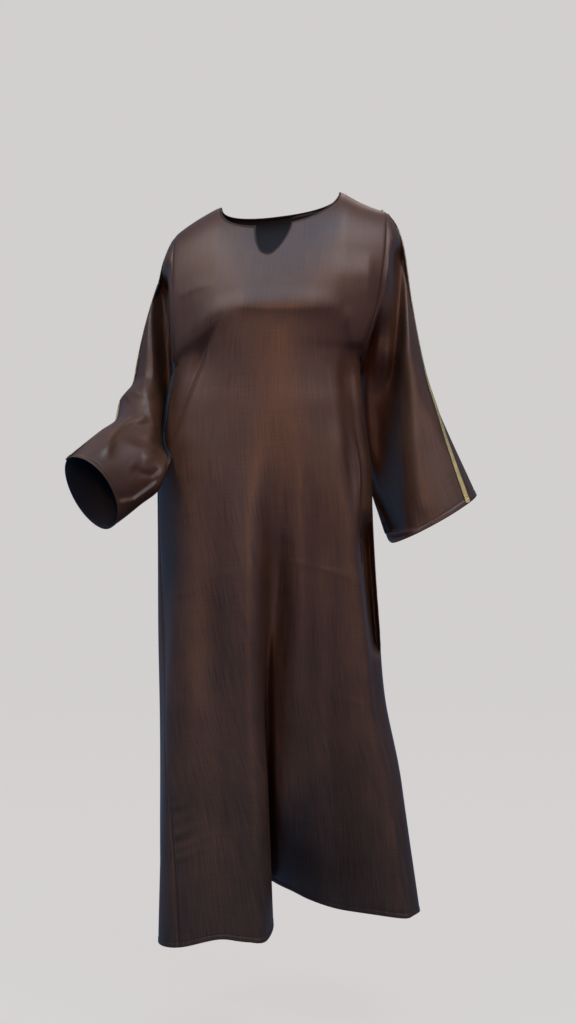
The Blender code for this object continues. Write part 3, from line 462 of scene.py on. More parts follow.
LEFT_SLEEVE_RELIEF = (
    # The deep fold in front of the armpit
    (((-0.2071, -0.0989), (-0.2124, -0.1591), (-0.2107, -0.2299), (-0.2071, -0.3184),
      (-0.2036, -0.3715), (-0.2071, -0.4246), (-0.2107, -0.4706)),
     -0.0520, 0.0142, 0.0212, 2.4, 0.15, 0.15),
    # The roll that runs down into the bend of the elbow, and the crease beside it
    (((-0.2284, -0.1449), (-0.2372, -0.2299), (-0.2443, -0.3007), (-0.239, -0.3591),
      (-0.2284, -0.3909), (-0.2195, -0.4193), (-0.216, -0.4405)),
     0.0050, 0.0089, 0.0071, 1.6, 0.12, 0.25),
    (((-0.2496, -0.3679), (-0.2354, -0.3856), (-0.2266, -0.4069), (-0.2213, -0.4299), (-0.2177, -0.4547)),
     -0.0060, 0.0106, 0.0053, 1.6, 0.20, 0.20),
    (((-0.2496, -0.3821), (-0.2443, -0.4069), (-0.2531, -0.4387)),
     -0.0120, 0.0266, 0.0159, 2.0, 0.30, 0.30),
    # The forearm's lit roll, the crease under the elbow and the fold at the bottom
    (((-0.2549, -0.3732), (-0.2797, -0.3909), (-0.3009, -0.4139), (-0.308, -0.4387), (-0.3045, -0.4635)),
     0.0110, 0.0142, 0.0097, 1.8, 0.25, 0.30),
    (((-0.2213, -0.4352), (-0.2301, -0.4529), (-0.2478, -0.46)), 0.0040, 0.0106, 0.0106, 1.8, 0.30, 0.30),
    (((-0.2673, -0.4724), (-0.2478, -0.4847), (-0.2301, -0.4865), (-0.216, -0.4724)),
     -0.0060, 0.0053, 0.0071, 1.6, 0.25, 0.20),
    (((-0.2974, -0.529), (-0.2655, -0.5255), (-0.239, -0.5078), (-0.216, -0.4883)),
     -0.0050, 0.0053, 0.0106, 1.6, 0.15, 0.20),
    (((-0.2921, -0.5378), (-0.2602, -0.5308), (-0.2301, -0.5078), (-0.2177, -0.4936)),
     0.0050, 0.0071, 0.0053, 1.6, 0.20, 0.20),
    (((-0.2815, -0.3502), (-0.2691, -0.3396), (-0.2549, -0.329)), 0.0060, 0.0142, 0.0071, 1.6, 0.20, 0.30),
)
RIGHT_SLEEVE_RELIEF = (
    # The deep fold down the middle and the roll beside it
    (((0.2088, -0.067), (0.2088, -0.1414), (0.2053, -0.2299), (0.2, -0.3007), (0.1929, -0.3538)),
     -0.0320, 0.0106, 0.0106, 2.2, 0.12, 0.25),
    (((0.1947, -0.2653), (0.1876, -0.3538), (0.1841, -0.4246), (0.1876, -0.5308), (0.1947, -0.5909)),
     -0.0450, 0.0301, 0.0266, 2.4, 0.25, 0.02),
    (((0.2195, -0.1591), (0.2248, -0.2299), (0.2283, -0.3184), (0.2354, -0.4246), (0.2425, -0.5308),
      (0.2478, -0.5768)),
     0.0050, 0.0089, 0.0212, 1.7, 0.20, 0.10),
    # Beside the armhole
    (((0.1717, -0.0794), (0.1664, -0.1414), (0.1575, -0.2299), (0.1451, -0.3272)),
     -0.0050, 0.0053, 0.0089, 1.6, 0.20, 0.30),
    (((0.1858, -0.0883), (0.1841, -0.1591), (0.1734, -0.2299), (0.1575, -0.3184)),
     0.0040, 0.0106, 0.0089, 1.6, 0.20, 0.30),
)
LEFT_SLEEVE_SHIFT = (
    # Beside the body the sleeve lies back, behind the body's edge
    (((-0.1806, -0.1095), (-0.1806, -0.1768), (-0.1806, -0.2476), (-0.1806, -0.3184),
      (-0.1823, -0.3892), (-0.1876, -0.4423), (-0.1983, -0.4918)),
     -0.0800, 0.0389, 0.0531, 2.6, 0.10, 0.22),
)
RIGHT_SLEEVE_SHIFT = (
    # Beside the body the sleeve lies back, behind the body's edge
    (((0.1416, -0.1768), (0.1416, -0.2653), (0.1416, -0.3538), (0.1487, -0.4423), (0.1557, -0.5308),
      (0.1664, -0.6104)),
     -0.0550, 0.0531, 0.0460, 2.6, 0.15, 0.02),
)

# Colours, all as linear light
CREPE_DARK = (0.0200, 0.0082, 0.0040, 1.0)
CREPE_LIGHT = (0.0650, 0.0275, 0.0135, 1.0)
# The reverse's dark bluish tone is painted shade: the cool shade seen inside the gown, on the cloth's inner faces.
REVERSE_SHADE_DARK = (0.0120, 0.0160, 0.0220, 1.0)
REVERSE_SHADE_LIGHT = (0.0260, 0.0330, 0.0430, 1.0)
BINDING_DARK = (0.0080, 0.0055, 0.0048, 1.0)
GOLD_DEEP = (0.2300, 0.1600, 0.0520, 1.0)
GOLD_BRIGHT = (0.6200, 0.5000, 0.2200, 1.0)
OLIVE = (0.0300, 0.0260, 0.0120, 1.0)
THREAD = (0.0500, 0.0330, 0.0240, 1.0)
STAGE_PALE = (0.0400, 0.0390, 0.0385, 1.0)
STAGE_GLOW = (1.0000, 0.9580, 0.9480, 1.0)
AMBIENT = (0.32, 0.58, 1.0, 1.0)

# Lights: where each is and looks, its size, its spread in degrees and its colour. The settings
# hold their powers.
LIGHTS = {
    "top": ((0.0, -1.2, 1.4), (0.0, -0.1, -0.3), (3.0, 0.6), 180, (0.19, 0.63, 1.0)),
    "left": ((-1.5, -0.8, 1.2), (0.0, 0.0, -0.3), (0.8, 0.8), 180, (0.94, 0.78, 0.70)),
    "right": ((0.95, -1.35, 1.2), (0.0, 0.0, -0.3), (0.8, 0.8), 180, (0.96, 0.73, 0.60)),
    "beam": ((0.0, -3.0, 0.2), (0.02, 0.0, -0.34), (0.6, 0.6), 38, (1.0, 0.38, 0.10)),
    "back": ((0.5, 2.6, 2.5), (0.0, 0.0, -0.6), (2.0, 1.2), 180, (1.0, 0.80, 0.70)),
}

# Flat width, length and area of each piece of cloth
SHEETS = {
    "front": (0.80, 1.32, 0.72),
    "back": (0.86, 1.32, 0.74),
    "right": (0.60, 0.54, 0.19),
    "left": (0.60, 0.52, 0.17),
}

# How far to either side a surface's slope is read, in degrees round and in metres down
NEAR_ANGLE = 0.5
NEAR_ALONG = 0.002

# How finely a panel's angles are read: levels down it, shares across it, points for each level
ANGLE_LEVELS = 70
ANGLE_SHARES = 101
ANGLE_POINTS = 400

# Points of a quarter of the neckline, how far down the cloth it is looked for, and how often
# that search halves what is left
NECK_POINTS = 200
NECK_REACH = 0.26
HALVINGS = 40

# How far apart the back's rows and a sleeve's rings are, against the front's rows, and the
# levels at which a sleeve's length is read
BACK_STEP = 1.5
SLEEVE_STEP = 0.85
SLEEVE_LEVELS = 200

# How far a panel's edge lies under the binding, as a share of its width; the panel's width and
# middle in its cloth coordinates; and how near its edges it faces as the plain body does
BINDING_COVER = 0.6
PLACE_WIDTH = 0.5
PLACE_MIDDLES = {"front": 0.0, "back": 2.0}
EDGE_FLAT = 0.002

# How much the cloth has to face the viewer for relief to start and to be full
PANEL_FACING = (0.05, 0.45)
SLEEVE_FACING = (-0.15, 0.35)

# A turned hem: how far it stands out, how wide its groove and its edge are, where the even rows
# end and where its own rows lie, as shares of its depth
HEM_RISE = 0.00045
HEM_GROOVE = 0.0011
HEM_EDGE = 0.0015
HEM_START = 1.5
HEM_LEVELS = (1.28, 1.14, 1.0, 0.86, 0.7, 0.45, 0.2, 0.0)

# Beside a panel's seams the cloth sinks, and waves and folds fade out
SEAM_WIDTH = 0.0035
SEAM_FADE = 0.012

# Under an armhole a panel's bends are eased out, in so many rounds, and its seam stands out
# instead of sinking
ARMPIT_REACH = 0.06
ARMPIT_FADE = 0.02
ARMPIT_DROP = 0.004
ARMPIT_HEIGHT = 0.025
SOFTEN_ROUNDS = 60

# Puckers beside the left side seam: their middle and reach down the cloth, their reach as a
# share of the panel and how sharply they end there. Of each of the two waves that make them the
# height, the length, the slant across, the start and the sway, which repeats down the cloth.
PUCKER_ALONG = 1.135
PUCKER_REACH = 0.085
PUCKER_SHARE = 0.055
PUCKER_ROUND = 1.5
PUCKER_WAVES = ((0.0013, 0.021, 42, 0.0, 0.8), (0.0016, 0.047, 20, 1.0, 0.0))
PUCKER_SWAY = 70

# A sleeve's seam and fades, as shares of its length, and its fades beside the braid
SLEEVE_SEAM = 0.010
SLEEVE_FADE = 0.06
SHIFT_FADE = 0.12
SLEEVE_RADIUS = 0.1
BRAID_CLEAR = 0.004
BRAID_FADE = 0.012

# Rings of a sleeve's seam allowance: how far each reaches behind the panel's edge and how far
# under its wall; how thick the allowance is, as a share of the wall; and where the rings lie on
# the cloth
TUCKS = ((0.009, 0.0010), (0.002, 0.0006))
TUCK_WALL = 0.8
TUCK_PLACES = (-0.012, -0.004)

# Slow waves of the cloth: their size, their height on a sleeve as a share of that on a panel,
# how much longer they are than wide, and where they start
PANEL_WAVE = 0.085
SLEEVE_WAVE = 0.06
SLEEVE_WAVE_SHARE = 0.8
WAVE_STRETCH = 3.0
WAVE_SEEDS = {"front": 3.0, "back": 7.0, "left": 11.0, "right": 17.0}

# The binding's section, how far it stands over the cloth, and the width of its cloth coordinates
BINDING_SIDES = 14
BINDING_SQUARE = 0.75
BINDING_OVER = 0.0005
BINDING_PLACES = 0.01

# A stitch's length as a share of its pitch, and how far it stands out as a share of the thread
STITCH_SHARE = 0.78
STITCH_LIFT = 0.3

# The braid's band: the ring at which it starts, points across it, how much lower its edges are
# and how late they drop, and how far up the gap under it its lower face lies
BRAID_FIRST = 3
BAND_COLUMNS = 9
BAND_ROUND = 0.35
BAND_POWER = 4
BAND_LOW = 0.4

# Its strands: length, width and height as shares of their pitch, of the room for one and of the
# braid's thickness, how far they are lifted as a share of that, and how far across they reach
STRAND_SHARES = (1.75, 0.80, 0.95)
STRAND_LIFT = 0.10
STRAND_REACH = 0.66

# Its cords: how far out they lie, their pitch and length as shares of the strands' pitch, and
# their width and height
CORD_REACH = 0.93
CORD_PITCH = 0.8
CORD_LENGTH = 1.3
CORD_SECTION = (0.0009, 0.0008)

# A bead's usual size
BEAD_SIZE = {"Length": 0.0025, "Width": 0.0006, "Height": 0.0005}

# The backdrop: how far its floor reaches, the curve at its foot and the steps of that, its
# height, the hub of its floor and its sides
STAGE_REACH = 9.0
STAGE_CURVE = 2.0
STAGE_STEPS = 24
STAGE_TOP = 9.0
STAGE_HUB = 0.02
STAGE_SIDES = 96


class Track:
    """A table with named columns, each of which reads as a smooth curve of the first one."""

    def __init__(self, names, rows, period=None):
        self.columns = {name: np.array(values, float) for name, values in zip(names, zip(*rows))}
        self.period = period
        self.knots = self.columns[names[0]]
        if period:
            self.knots = np.concatenate([self.knots[-3:] - period, self.knots,
                                         self.knots[:3] + period])

    def at(self, name, place):
        """The named column's value at a place in the first one."""
        place = np.asarray(place, float)
        values = self.columns[name]
        knots = self.knots
        if self.period:
            values = np.concatenate([values[-3:], values, values[:3]])
            place = np.mod(place, self.period)
            slopes = np.gradient(values, knots)
        else:
            place = np.clip(place, knots[0], knots[-1])
            slopes = even_slopes(knots, values)
        first = np.clip(np.searchsorted(knots, place, side="right") - 1, 0, len(knots) - 2)
        step = knots[first + 1] - knots[first]
        t = (place - knots[first]) / step
        return (values[first] * (1 + 2 * t) * (1 - t) ** 2
                + slopes[first] * step * t * (1 - t) ** 2
                + values[first + 1] * t * t * (3 - 2 * t)
                - slopes[first + 1] * step * t * t * (1 - t))


def even_slopes(knots, values):
    """Slopes that keep a curve through the values from swinging past them."""
    rise = np.diff(values) / np.diff(knots)
    slopes = np.zeros(len(values))
    slopes[0], slopes[-1] = rise[0], rise[-1]
    before, after = rise[:-1], rise[1:]
    same = before * after > 0
    total = np.where(same, before + after, 1.0)
    slopes[1:-1] = np.where(same, 2 * before * after / total, 0.0)
    return slopes


def ease(value):
    """Zero below 0, one above 1, and a smooth step between."""
    value = np.clip(value, 0.0, 1.0)
    return value * value * (3 - 2 * value)


def unit(vectors):
    """The vectors, each made one long."""
    return vectors / np.maximum(np.linalg.norm(vectors, axis=-1, keepdims=True), 1e-12)


def lengths(line):
    """How far along a line each of its points lies."""
    return np.concatenate([[0.0], np.cumsum(np.linalg.norm(np.diff(line, axis=0), axis=1))])


def signed_power(value, power):
    """A power that keeps the value's sign."""
    return np.sign(value) * np.abs(value) ** power


def bump(distance, width):
    """One at the middle of a fold and zero past its width."""
    return np.cos(np.clip(distance / width, -1, 1) * np.pi / 2) ** 2


BODY = Track(BODY_COLUMNS, BODY_ROWS)
HEM = Track(HEM_COLUMNS, HEM_ROWS, period=360)
SEAMS = Track(SEAM_COLUMNS, SEAM_ROWS)
RIBBON = Track(RIBBON_COLUMNS, RIBBON_ROWS)
SLEEVES = {
    "right": Track(SLEEVE_COLUMNS, RIGHT_SLEEVE_ROWS),
    "left": Track(SLEEVE_COLUMNS, LEFT_SLEEVE_ROWS),
}
SLEEVE_FOLDS = {"right": RIGHT_SLEEVE_FOLDS, "left": LEFT_SLEEVE_FOLDS}
SLEEVE_RELIEF = {"right": RIGHT_SLEEVE_RELIEF, "left": LEFT_SLEEVE_RELIEF}
SLEEVE_SHIFT = {"right": RIGHT_SLEEVE_SHIFT, "left": LEFT_SLEEVE_SHIFT}
SHOULDER_CROSS = unit(np.array([CHEST_TURN, 1.0, 0.0]))


def shoulder_height(x):
    """The shoulder line: level across the neck, sloping to both sides, tilted to the left."""
    beyond = np.maximum(np.abs(x - NECK_MID) - NECK_HALF_WIDTH, 0.0)
    eased = beyond ** 2 / (2 * SHOULDER_EASE)
    beyond = np.where(beyond < SHOULDER_EASE, eased, beyond - SHOULDER_EASE / 2)
    slope = np.where(x < 0, SHOULDER_SLOPES["left"], SHOULDER_SLOPES["right"])
    bend = np.where(x < 0, SHOULDER_BENDS["left"], SHOULDER_BENDS["right"])
    return SHOULDER_TILT * x - slope * beyond - bend * beyond ** 2


def body_folds(angle, along):
    """How far the soft folds carry the cloth out or in."""
    out = np.zeros(np.broadcast(angle, along).shape)
    for at, width, depth, start, full, drift in FOLD_ROWS:
        share = np.clip((HEM_ALONG - along) / (HEM_ALONG - start), 0, 1)
        off = np.mod(angle - at - drift * share + 180, 360) - 180
        out = out + depth * bump(off, width) * ease((along - start) / (full - start))
    return out


def body_surface(angle, along):
    """A point of the outer face, from its angle round the body and its way down the cloth."""
    angle, along = np.broadcast_arrays(np.asarray(angle, float), np.asarray(along, float))
    turn = np.radians(np.mod(angle, 360))
    across = np.cos(turn)
    front = np.mod(angle, 360) <= 180
    fullness = np.maximum(1 - np.abs(across) ** BODY.at("square", along), 0) ** BODY.at("edge", along)
    loop = np.pi * np.clip(along / ARMHOLE_LENGTH, 0, 1)
    open_front, open_back = ARMHOLE_FRONT * np.sin(loop), ARMHOLE_BACK * np.sin(loop)
    middle_drop = BODY.at("drop", along)
    edge_drop = np.where(along < ARMHOLE_LENGTH,
                         BODY.at("drop", ARMHOLE_LENGTH) * (1 - np.cos(loop)) / 2, middle_drop)
    side = np.where(front, open_front, open_back)
    depth = side + (np.where(front, BODY.at("front", along), BODY.at("back", along)) - side) * fullness
    x = BODY.at("mid_x", along) - BODY.at("half_width", along) * across
    y = np.where(front, -depth, depth) - CHEST_TURN * (x - NECK_MID)
    drop = edge_drop + (middle_drop - edge_drop) * fullness
    z = shoulder_height(x) * (1 - ease(along / SHOULDER_FADE)) - drop

    share = np.clip((along - DRAPE_START) / (HEM_ALONG - DRAPE_START), 0, 1)
    swing = share ** DRAPE_POWER
    x = x + (HEM.at("x", angle) - x) * swing
    y = y + (HEM.at("y", angle) - y) * swing
    at_start = -BODY.at("drop", DRAPE_START)
    z = np.where(along > DRAPE_START, at_start + (HEM.at("z", angle) - at_start) * share, z)

    out = body_folds(angle, along)
    return np.stack([x - across * out, y - np.sin(turn) * out, z], axis=-1)


def body_normal(angle, along, panel):
    """The outward direction of the cloth, read on one side of an armhole only."""
    angle, along = np.broadcast_arrays(np.asarray(angle, float), np.asarray(along, float))
    low, high = (0.0, 180.0) if panel == "front" else (180.0, 360.0)
    beside = along < ARMHOLE_LENGTH - 1e-6
    before, after = angle - NEAR_ANGLE, angle + NEAR_ANGLE
    before = np.where(beside, np.clip(before, low, high), before)
    after = np.where(beside, np.clip(after, low, high - 1e-6), after)
    above = np.maximum(along - NEAR_ALONG, np.where(beside, 0.0, ARMHOLE_LENGTH))
    around = body_surface(after, along) - body_surface(before, along)
    down = body_surface(angle, along + NEAR_ALONG) - body_surface(angle, above)
    out = unit(np.cross(down, around))
    seam = (along < SHOULDER_SEAM)[..., None]
    leaning = np.sum(out * SHOULDER_CROSS, axis=-1, keepdims=True) * SHOULDER_CROSS
    return unit(np.where(seam, out - leaning, out))


def even_angles(panel):
    """Angles at equal steps across a panel, for a set of levels down the cloth."""
    alongs, shares = np.linspace(0.0, HEM_ALONG, ANGLE_LEVELS), np.linspace(0.0, 1.0, ANGLE_SHARES)
    grid = []
    for along in alongs:
        left, right = SEAMS.at("left", along), SEAMS.at("right", along)
        low, high = (left, right) if panel == "front" else (right, left + 360)
        angles = np.linspace(low, high, ANGLE_POINTS)
        way = lengths(body_surface(np.clip(angles, low + 1e-4, high - 1e-4), along))
        grid.append(np.interp(shares, way / way[-1], angles))
    return alongs, shares, np.array(grid)


ANGLES = {panel: even_angles(panel) for panel in ("front", "back")}


def panel_angle(panel, share, along):
    """The angle round the body at a share of the panel's width."""
    alongs, shares, grid = ANGLES[panel]
    row = np.clip(along / alongs[-1] * (len(alongs) - 1), 0, len(alongs) - 1 - 1e-9)
    column = np.clip(share * (len(shares) - 1), 0, len(shares) - 1 - 1e-9)
    i, j = row.astype(int), column.astype(int)
    u, v = row - i, column - j
    return ((1 - u) * ((1 - v) * grid[i, j] + v * grid[i, j + 1])
            + u * ((1 - v) * grid[i + 1, j] + v * grid[i + 1, j + 1]))


def panel_share(panel, angle, along):
    """The share of the panel's width at an angle: panel_angle the other way round."""
    low, high = np.zeros(np.shape(angle)), np.ones(np.shape(angle))
    for _ in range(HALVINGS):
        middle = (low + high) / 2
        below = panel_angle(panel, middle, along) < angle
        low, high = np.where(below, middle, low), np.where(below, high, middle)
    return (low + high) / 2


def on_panel(panel, x, z):
    """The angle and the way down the cloth of the point that shows at x and z."""
    low, high = np.zeros(np.shape(x)), np.full(np.shape(x), NECK_REACH)
    for _ in range(HALVINGS):
        along = (low + high) / 2
        cosine = np.clip((BODY.at("mid_x", along) - x) / BODY.at("half_width", along), -1, 1)
        angle = np.degrees(np.arccos(cosine))
        angle = angle if panel == "front" else 360 - angle
        above = body_surface(angle, along)[..., 2] > z
        low, high = np.where(above, along, low), np.where(above, high, along)
    return angle, along


def neck_run(run, outset):
    """One run of the neckline as x and as distance below the shoulder line, moved outwards."""
    if run == "neck_back":
        turn, power = np.linspace(0.0, np.pi, 2 * NECK_POINTS), 2 / BACK_NECK_ROUND
        return (NECK_MID + (NECK_HALF_WIDTH + outset) * signed_power(np.cos(turn), power),
                (BACK_NECK_DROP + outset) * np.abs(np.sin(turn)) ** power)
    kind, side = run.split("_")
    sign = -1 if side == "left" else 1
    power = 2 / (NECK_ROUND if kind == "neck" else NOTCH_ROUND)[side]
    turn = np.linspace(0.0, np.pi / 2, NECK_POINTS)
    wide, deep = np.cos(turn) ** power, np.sin(turn) ** power
    if kind == "neck":
        corner = sign * (NOTCH_SIDE[side] - NECK_MID) + outset
        wide, below = (NECK_HALF_WIDTH + outset) * wide, (NECK_DROP + outset) * deep
        kept, last = wide > corner, np.interp(corner, wide[::-1], below[::-1])
        x, below = NECK_MID + sign * np.append(wide[kept], corner), np.append(below[kept], last)
    else:
        x = NOTCH_BOTTOM + sign * (sign * (NOTCH_SIDE[side] - NOTCH_BOTTOM) + outset) * wide
        top = neck_run("neck_" + side, outset)[1][-1 if side == "left" else 0]
        below = top + (NECK_DROP + NOTCH_DEPTH + outset - top) * deep
    return (x, below) if side == "left" else (x[::-1], below[::-1])


def top_edge(panel, run, outset, count):
    """A run of a panel's top edge as angles and ways down the cloth."""
    if run.startswith("shoulder"):
        left = run.endswith("left")
        neck_x = NECK_MID + (NECK_HALF_WIDTH + outset) * (-1 if left else 1)
        cosine = (BODY.at("mid_x", HALF_GAP) - neck_x) / BODY.at("half_width", HALF_GAP)
        ends = [1.0, cosine] if left else [cosine, -1.0]
        if panel == "back":
            ends = ends[::-1]
        angle = np.degrees(np.arccos(np.clip(np.linspace(*ends, count + 1), -1, 1)))
        return angle if panel == "front" else 360 - angle, np.full(count + 1, HALF_GAP)
    x, below = neck_run(run, outset)
    angle, along = on_panel(panel, x, shoulder_height(x) - np.maximum(below, HALF_GAP))
    along = np.maximum(along, HALF_GAP)
    way = lengths(body_surface(angle, along))
    places = np.linspace(0.0, way[-1], count + 1)
    return np.interp(places, way, angle), np.interp(places, way, along)


def panel_grid(panel, runs, lines, outset, top_rows, skirt_levels):
    """Angles, ways down and shares across of a panel's points, rows from the top to the hem."""
    edge, start = [], 0.0
    for run, count, end in runs:
        angle, along = top_edge(panel, run, outset, count)
        edge.append(np.stack([panel_share(panel, angle, along), along,
                              np.linspace(start, end, count + 1)])[:, :count])
        start = end
    share_top, along_top, share_bust = np.concatenate(edge + [[[1.0], along[-1:], [1.0]]], axis=1)
    share_top[0] = 0.0
    columns = np.arange(len(share_top))
    shares, alongs = [], []
    for step in np.arange(top_rows) / top_rows:
        shares.append(share_top + (share_bust - share_top) * step)
        alongs.append(along_top + (ARMHOLE_LENGTH - along_top) * step)
    for level in skirt_levels:
        along = np.full(len(columns), level)
        step = (level - ARMHOLE_LENGTH) / (HEM_ALONG - ARMHOLE_LENGTH)
        held = [panel_share(panel, np.array([angle]), along[:1])[0] for _, angle in lines]
        even = np.interp(columns, [0, *(column for column, _ in lines), columns[-1]], [0.0, *held, 1.0])
        shares.append(share_bust + (even - share_bust) * ease(step / HOLD_FROM))
        alongs.append(along)
    shares, alongs = np.array(shares), np.array(alongs)
    angles = panel_angle(panel, shares, alongs)
    if panel == "back":
        armhole = alongs[:, -1] < ARMHOLE_LENGTH
        angles[armhole, -1], angles[armhole, 0] = 360 - 1e-6, 180 + 1e-6
    return angles, alongs, shares


def armhole_loop(side, turn):
    """A point of an armhole and the cloth's outward direction there."""
    turn = np.mod(np.asarray(turn, float), 360)
    front = turn <= 180
    way = np.where(front, turn, 360 - turn) / 180
    along = ARMHOLE_LENGTH * way
    edge_front, edge_back = (0.0, 360 - 1e-6) if side == "left" else (180.0, 180 + 1e-6)
    angle = np.where(front, edge_front, edge_back)
    point = body_surface(angle, along)
    normal = np.where(front[..., None], body_normal(angle, along, "front"),
                      body_normal(angle, along, "back"))
    return point, normal


def sleeve_ring(side, turn, part):
    """A sleeve's ring before its top is drawn to the armhole."""
    track = SLEEVES[side]
    turn, part = np.broadcast_arrays(np.asarray(turn, float), np.asarray(part, float))

    outer = np.stack([track.at("outer_" + axis, part) for axis in "xyz"], axis=-1)
    under = np.stack([track.at("under_" + axis, part) for axis in "xyz"], axis=-1)
    middle, half = (outer + under) / 2, (outer - under) / 2
    facing = np.radians(track.at("facing", part))
    ahead = np.stack([np.sin(facing), -np.cos(facing), np.zeros(part.shape)], axis=-1)
    along = unit(half)
    sideways = unit(ahead - along * np.sum(ahead * along, axis=-1, keepdims=True))
    angle = np.radians(turn)
    sine = np.sin(angle)
    bulge = np.where(sine >= 0, track.at("front", part), track.at("back", part))
    pinch = track.at("pinch", part)
    pinch = np.where(np.cos(angle) < 0, pinch, (1 + pinch) / 2)
    lift = signed_power(sine, pinch) * bulge
    for at, width, depth, start, end, drift in SLEEVE_FOLDS[side]:
        off = np.mod(turn - at - drift * part + 180, 360) - 180
        size = bump((part - (start + end) / 2), (end - start) / 2)
        lift = lift + np.sign(np.sin(np.radians(at))) * depth * bump(off, width) * size
    ring = middle + half * np.cos(angle)[..., None] + sideways * lift[..., None]
    ring[..., 2] -= track.at("dip", part) * np.maximum(sine, 0)
    return ring


def sleeve_surface(side, turn, part):
    """A point of a sleeve's outer face: turn is 0 on its outer line, 90 in front, 180 under."""
    turn, part = np.broadcast_arrays(np.asarray(turn, float), np.asarray(part, float))
    loop, _ = armhole_loop(side, turn)
    start = sleeve_ring(side, turn, np.zeros(part.shape))
    fade = 1 - ease(part / SLEEVE_BLEND)
    return sleeve_ring(side, turn, part) + (loop - start) * fade[..., None]


def body_tree():
    """The body below the armholes as a search tree, with its points and outward directions."""
    angle, along = np.meshgrid(np.arange(0, 360, 1.0), np.linspace(ARMHOLE_LENGTH, CLEAR_TO, CLEAR_LEVELS))
    surface = body_surface(angle, along).reshape(-1, 3)
    out = body_normal(angle, along, "front").reshape(-1, 3)
    tree = KDTree(len(surface))
    for index, point in enumerate(surface):
        tree.insert(point, index)
    tree.balance()
    return tree, surface, out


def clear_of_body(rings, clearance, first):
    """The rings, with points too near to the body below the armholes moved out from it."""
    tree, surface, out = body_tree()
    nearest = np.array([[tree.find(point)[1] for point in ring] for ring in rings])
    distance = np.sum((rings - surface[nearest]) * out[nearest], axis=-1)
    least = first + (clearance - first) * ease(np.arange(len(rings)) / CLEAR_ROWS)
    counts = ease((CLEAR_FROM - rings[..., 2]) / CLEAR_FADE)
    short = np.maximum(least[:, None] - distance, 0) * counts
    return rings + out[nearest] * short[..., None]


def relief(points, rows):
    """The height of the lines of a relief table at points as the viewer sees them."""
    nearness = -VIEWER[1] / (points[..., 1] - VIEWER[1])
    x = VIEWER[0] + (points[..., 0] - VIEWER[0]) * nearness
    z = VIEWER[2] + (points[..., 2] - VIEWER[2]) * nearness
    height = np.zeros(x.shape)
    for line, rise, left, right, roundness, fade_in, fade_out in rows:
        line = np.array(line)
        steps = np.linalg.norm(np.diff(line, axis=0), axis=1)
        starts = lengths(line)
        near, side, way = np.full(x.shape, 1e9), np.zeros(x.shape), np.zeros(x.shape)
        for index, (start, step) in enumerate(zip(line[:-1], np.diff(line, axis=0))):
            share = ((x - start[0]) * step[0] + (z - start[1]) * step[1]) / steps[index] ** 2
            share = np.clip(share, 0, 1)
            off_x, off_z = x - start[0] - share * step[0], z - start[1] - share * step[1]
            distance = np.hypot(off_x, off_z)
            closer = distance < near
            near = np.where(closer, distance, near)
            side = np.where(closer, off_x * step[1] - off_z * step[0], side)
            way = np.where(closer, (starts[index] + share * steps[index]) / starts[-1], way)
        width = np.where(side > 0, left, right)
        shape = np.exp(-(near / width) ** roundness)
        fade = ease(way / max(fade_in, 1e-6)) * ease((1 - way) / max(fade_out, 1e-6))
        height = height + rise * shape * fade
    return height


def undulation(points, size, seed):
    """Slow waves of the cloth, longer down it than across."""
    places = points.reshape(-1, 3) / (size, size, size * WAVE_STRETCH) + (0.0, 0.0, seed)
    return np.array([noise.noise(place) for place in places]).reshape(points.shape[:-1])


class Maths:
    """A shader socket that adds Math nodes when it is used in an expression."""

    def __init__(self, tree, socket):
        self.tree = tree
        self.socket = socket

    def combine(self, operation, first, second):
        """A Math node's result for two sockets or numbers."""
        node = self.tree.nodes.new("ShaderNodeMath")
        node.operation = operation
        for place, value in enumerate((first, second)):
            connect(self.tree, value, node.inputs[place])
        return Maths(self.tree, node.outputs[0])

    def __add__(self, other):
        return self.combine("ADD", self, other)

    def __radd__(self, other):
        return self.combine("ADD", other, self)

    def __sub__(self, other):
        return self.combine("SUBTRACT", self, other)

    def __rsub__(self, other):
        return self.combine("SUBTRACT", other, self)

    def __mul__(self, other):
        return self.combine("MULTIPLY", self, other)

    def __rmul__(self, other):
        return self.combine("MULTIPLY", other, self)


def connect(tree, value, socket):
    """Links a socket to another or gives it a plain value."""
    if isinstance(value, Maths):
        value = value.socket
    if isinstance(value, bpy.types.NodeSocket):
        tree.links.new(value, socket)
    else:
        socket.default_value = value


def add_node(tree, kind, values=None, output=0, **settings):
    """Adds a node, sets its settings and then its sockets, and returns one of its outputs."""
    node = tree.nodes.new(kind)
    for name, value in settings.items():
        setattr(node, name, value)
    for name, value in (values or {}).items():
        connect(tree, value, node.inputs[name])
    return node.outputs[output] if node.outputs else None


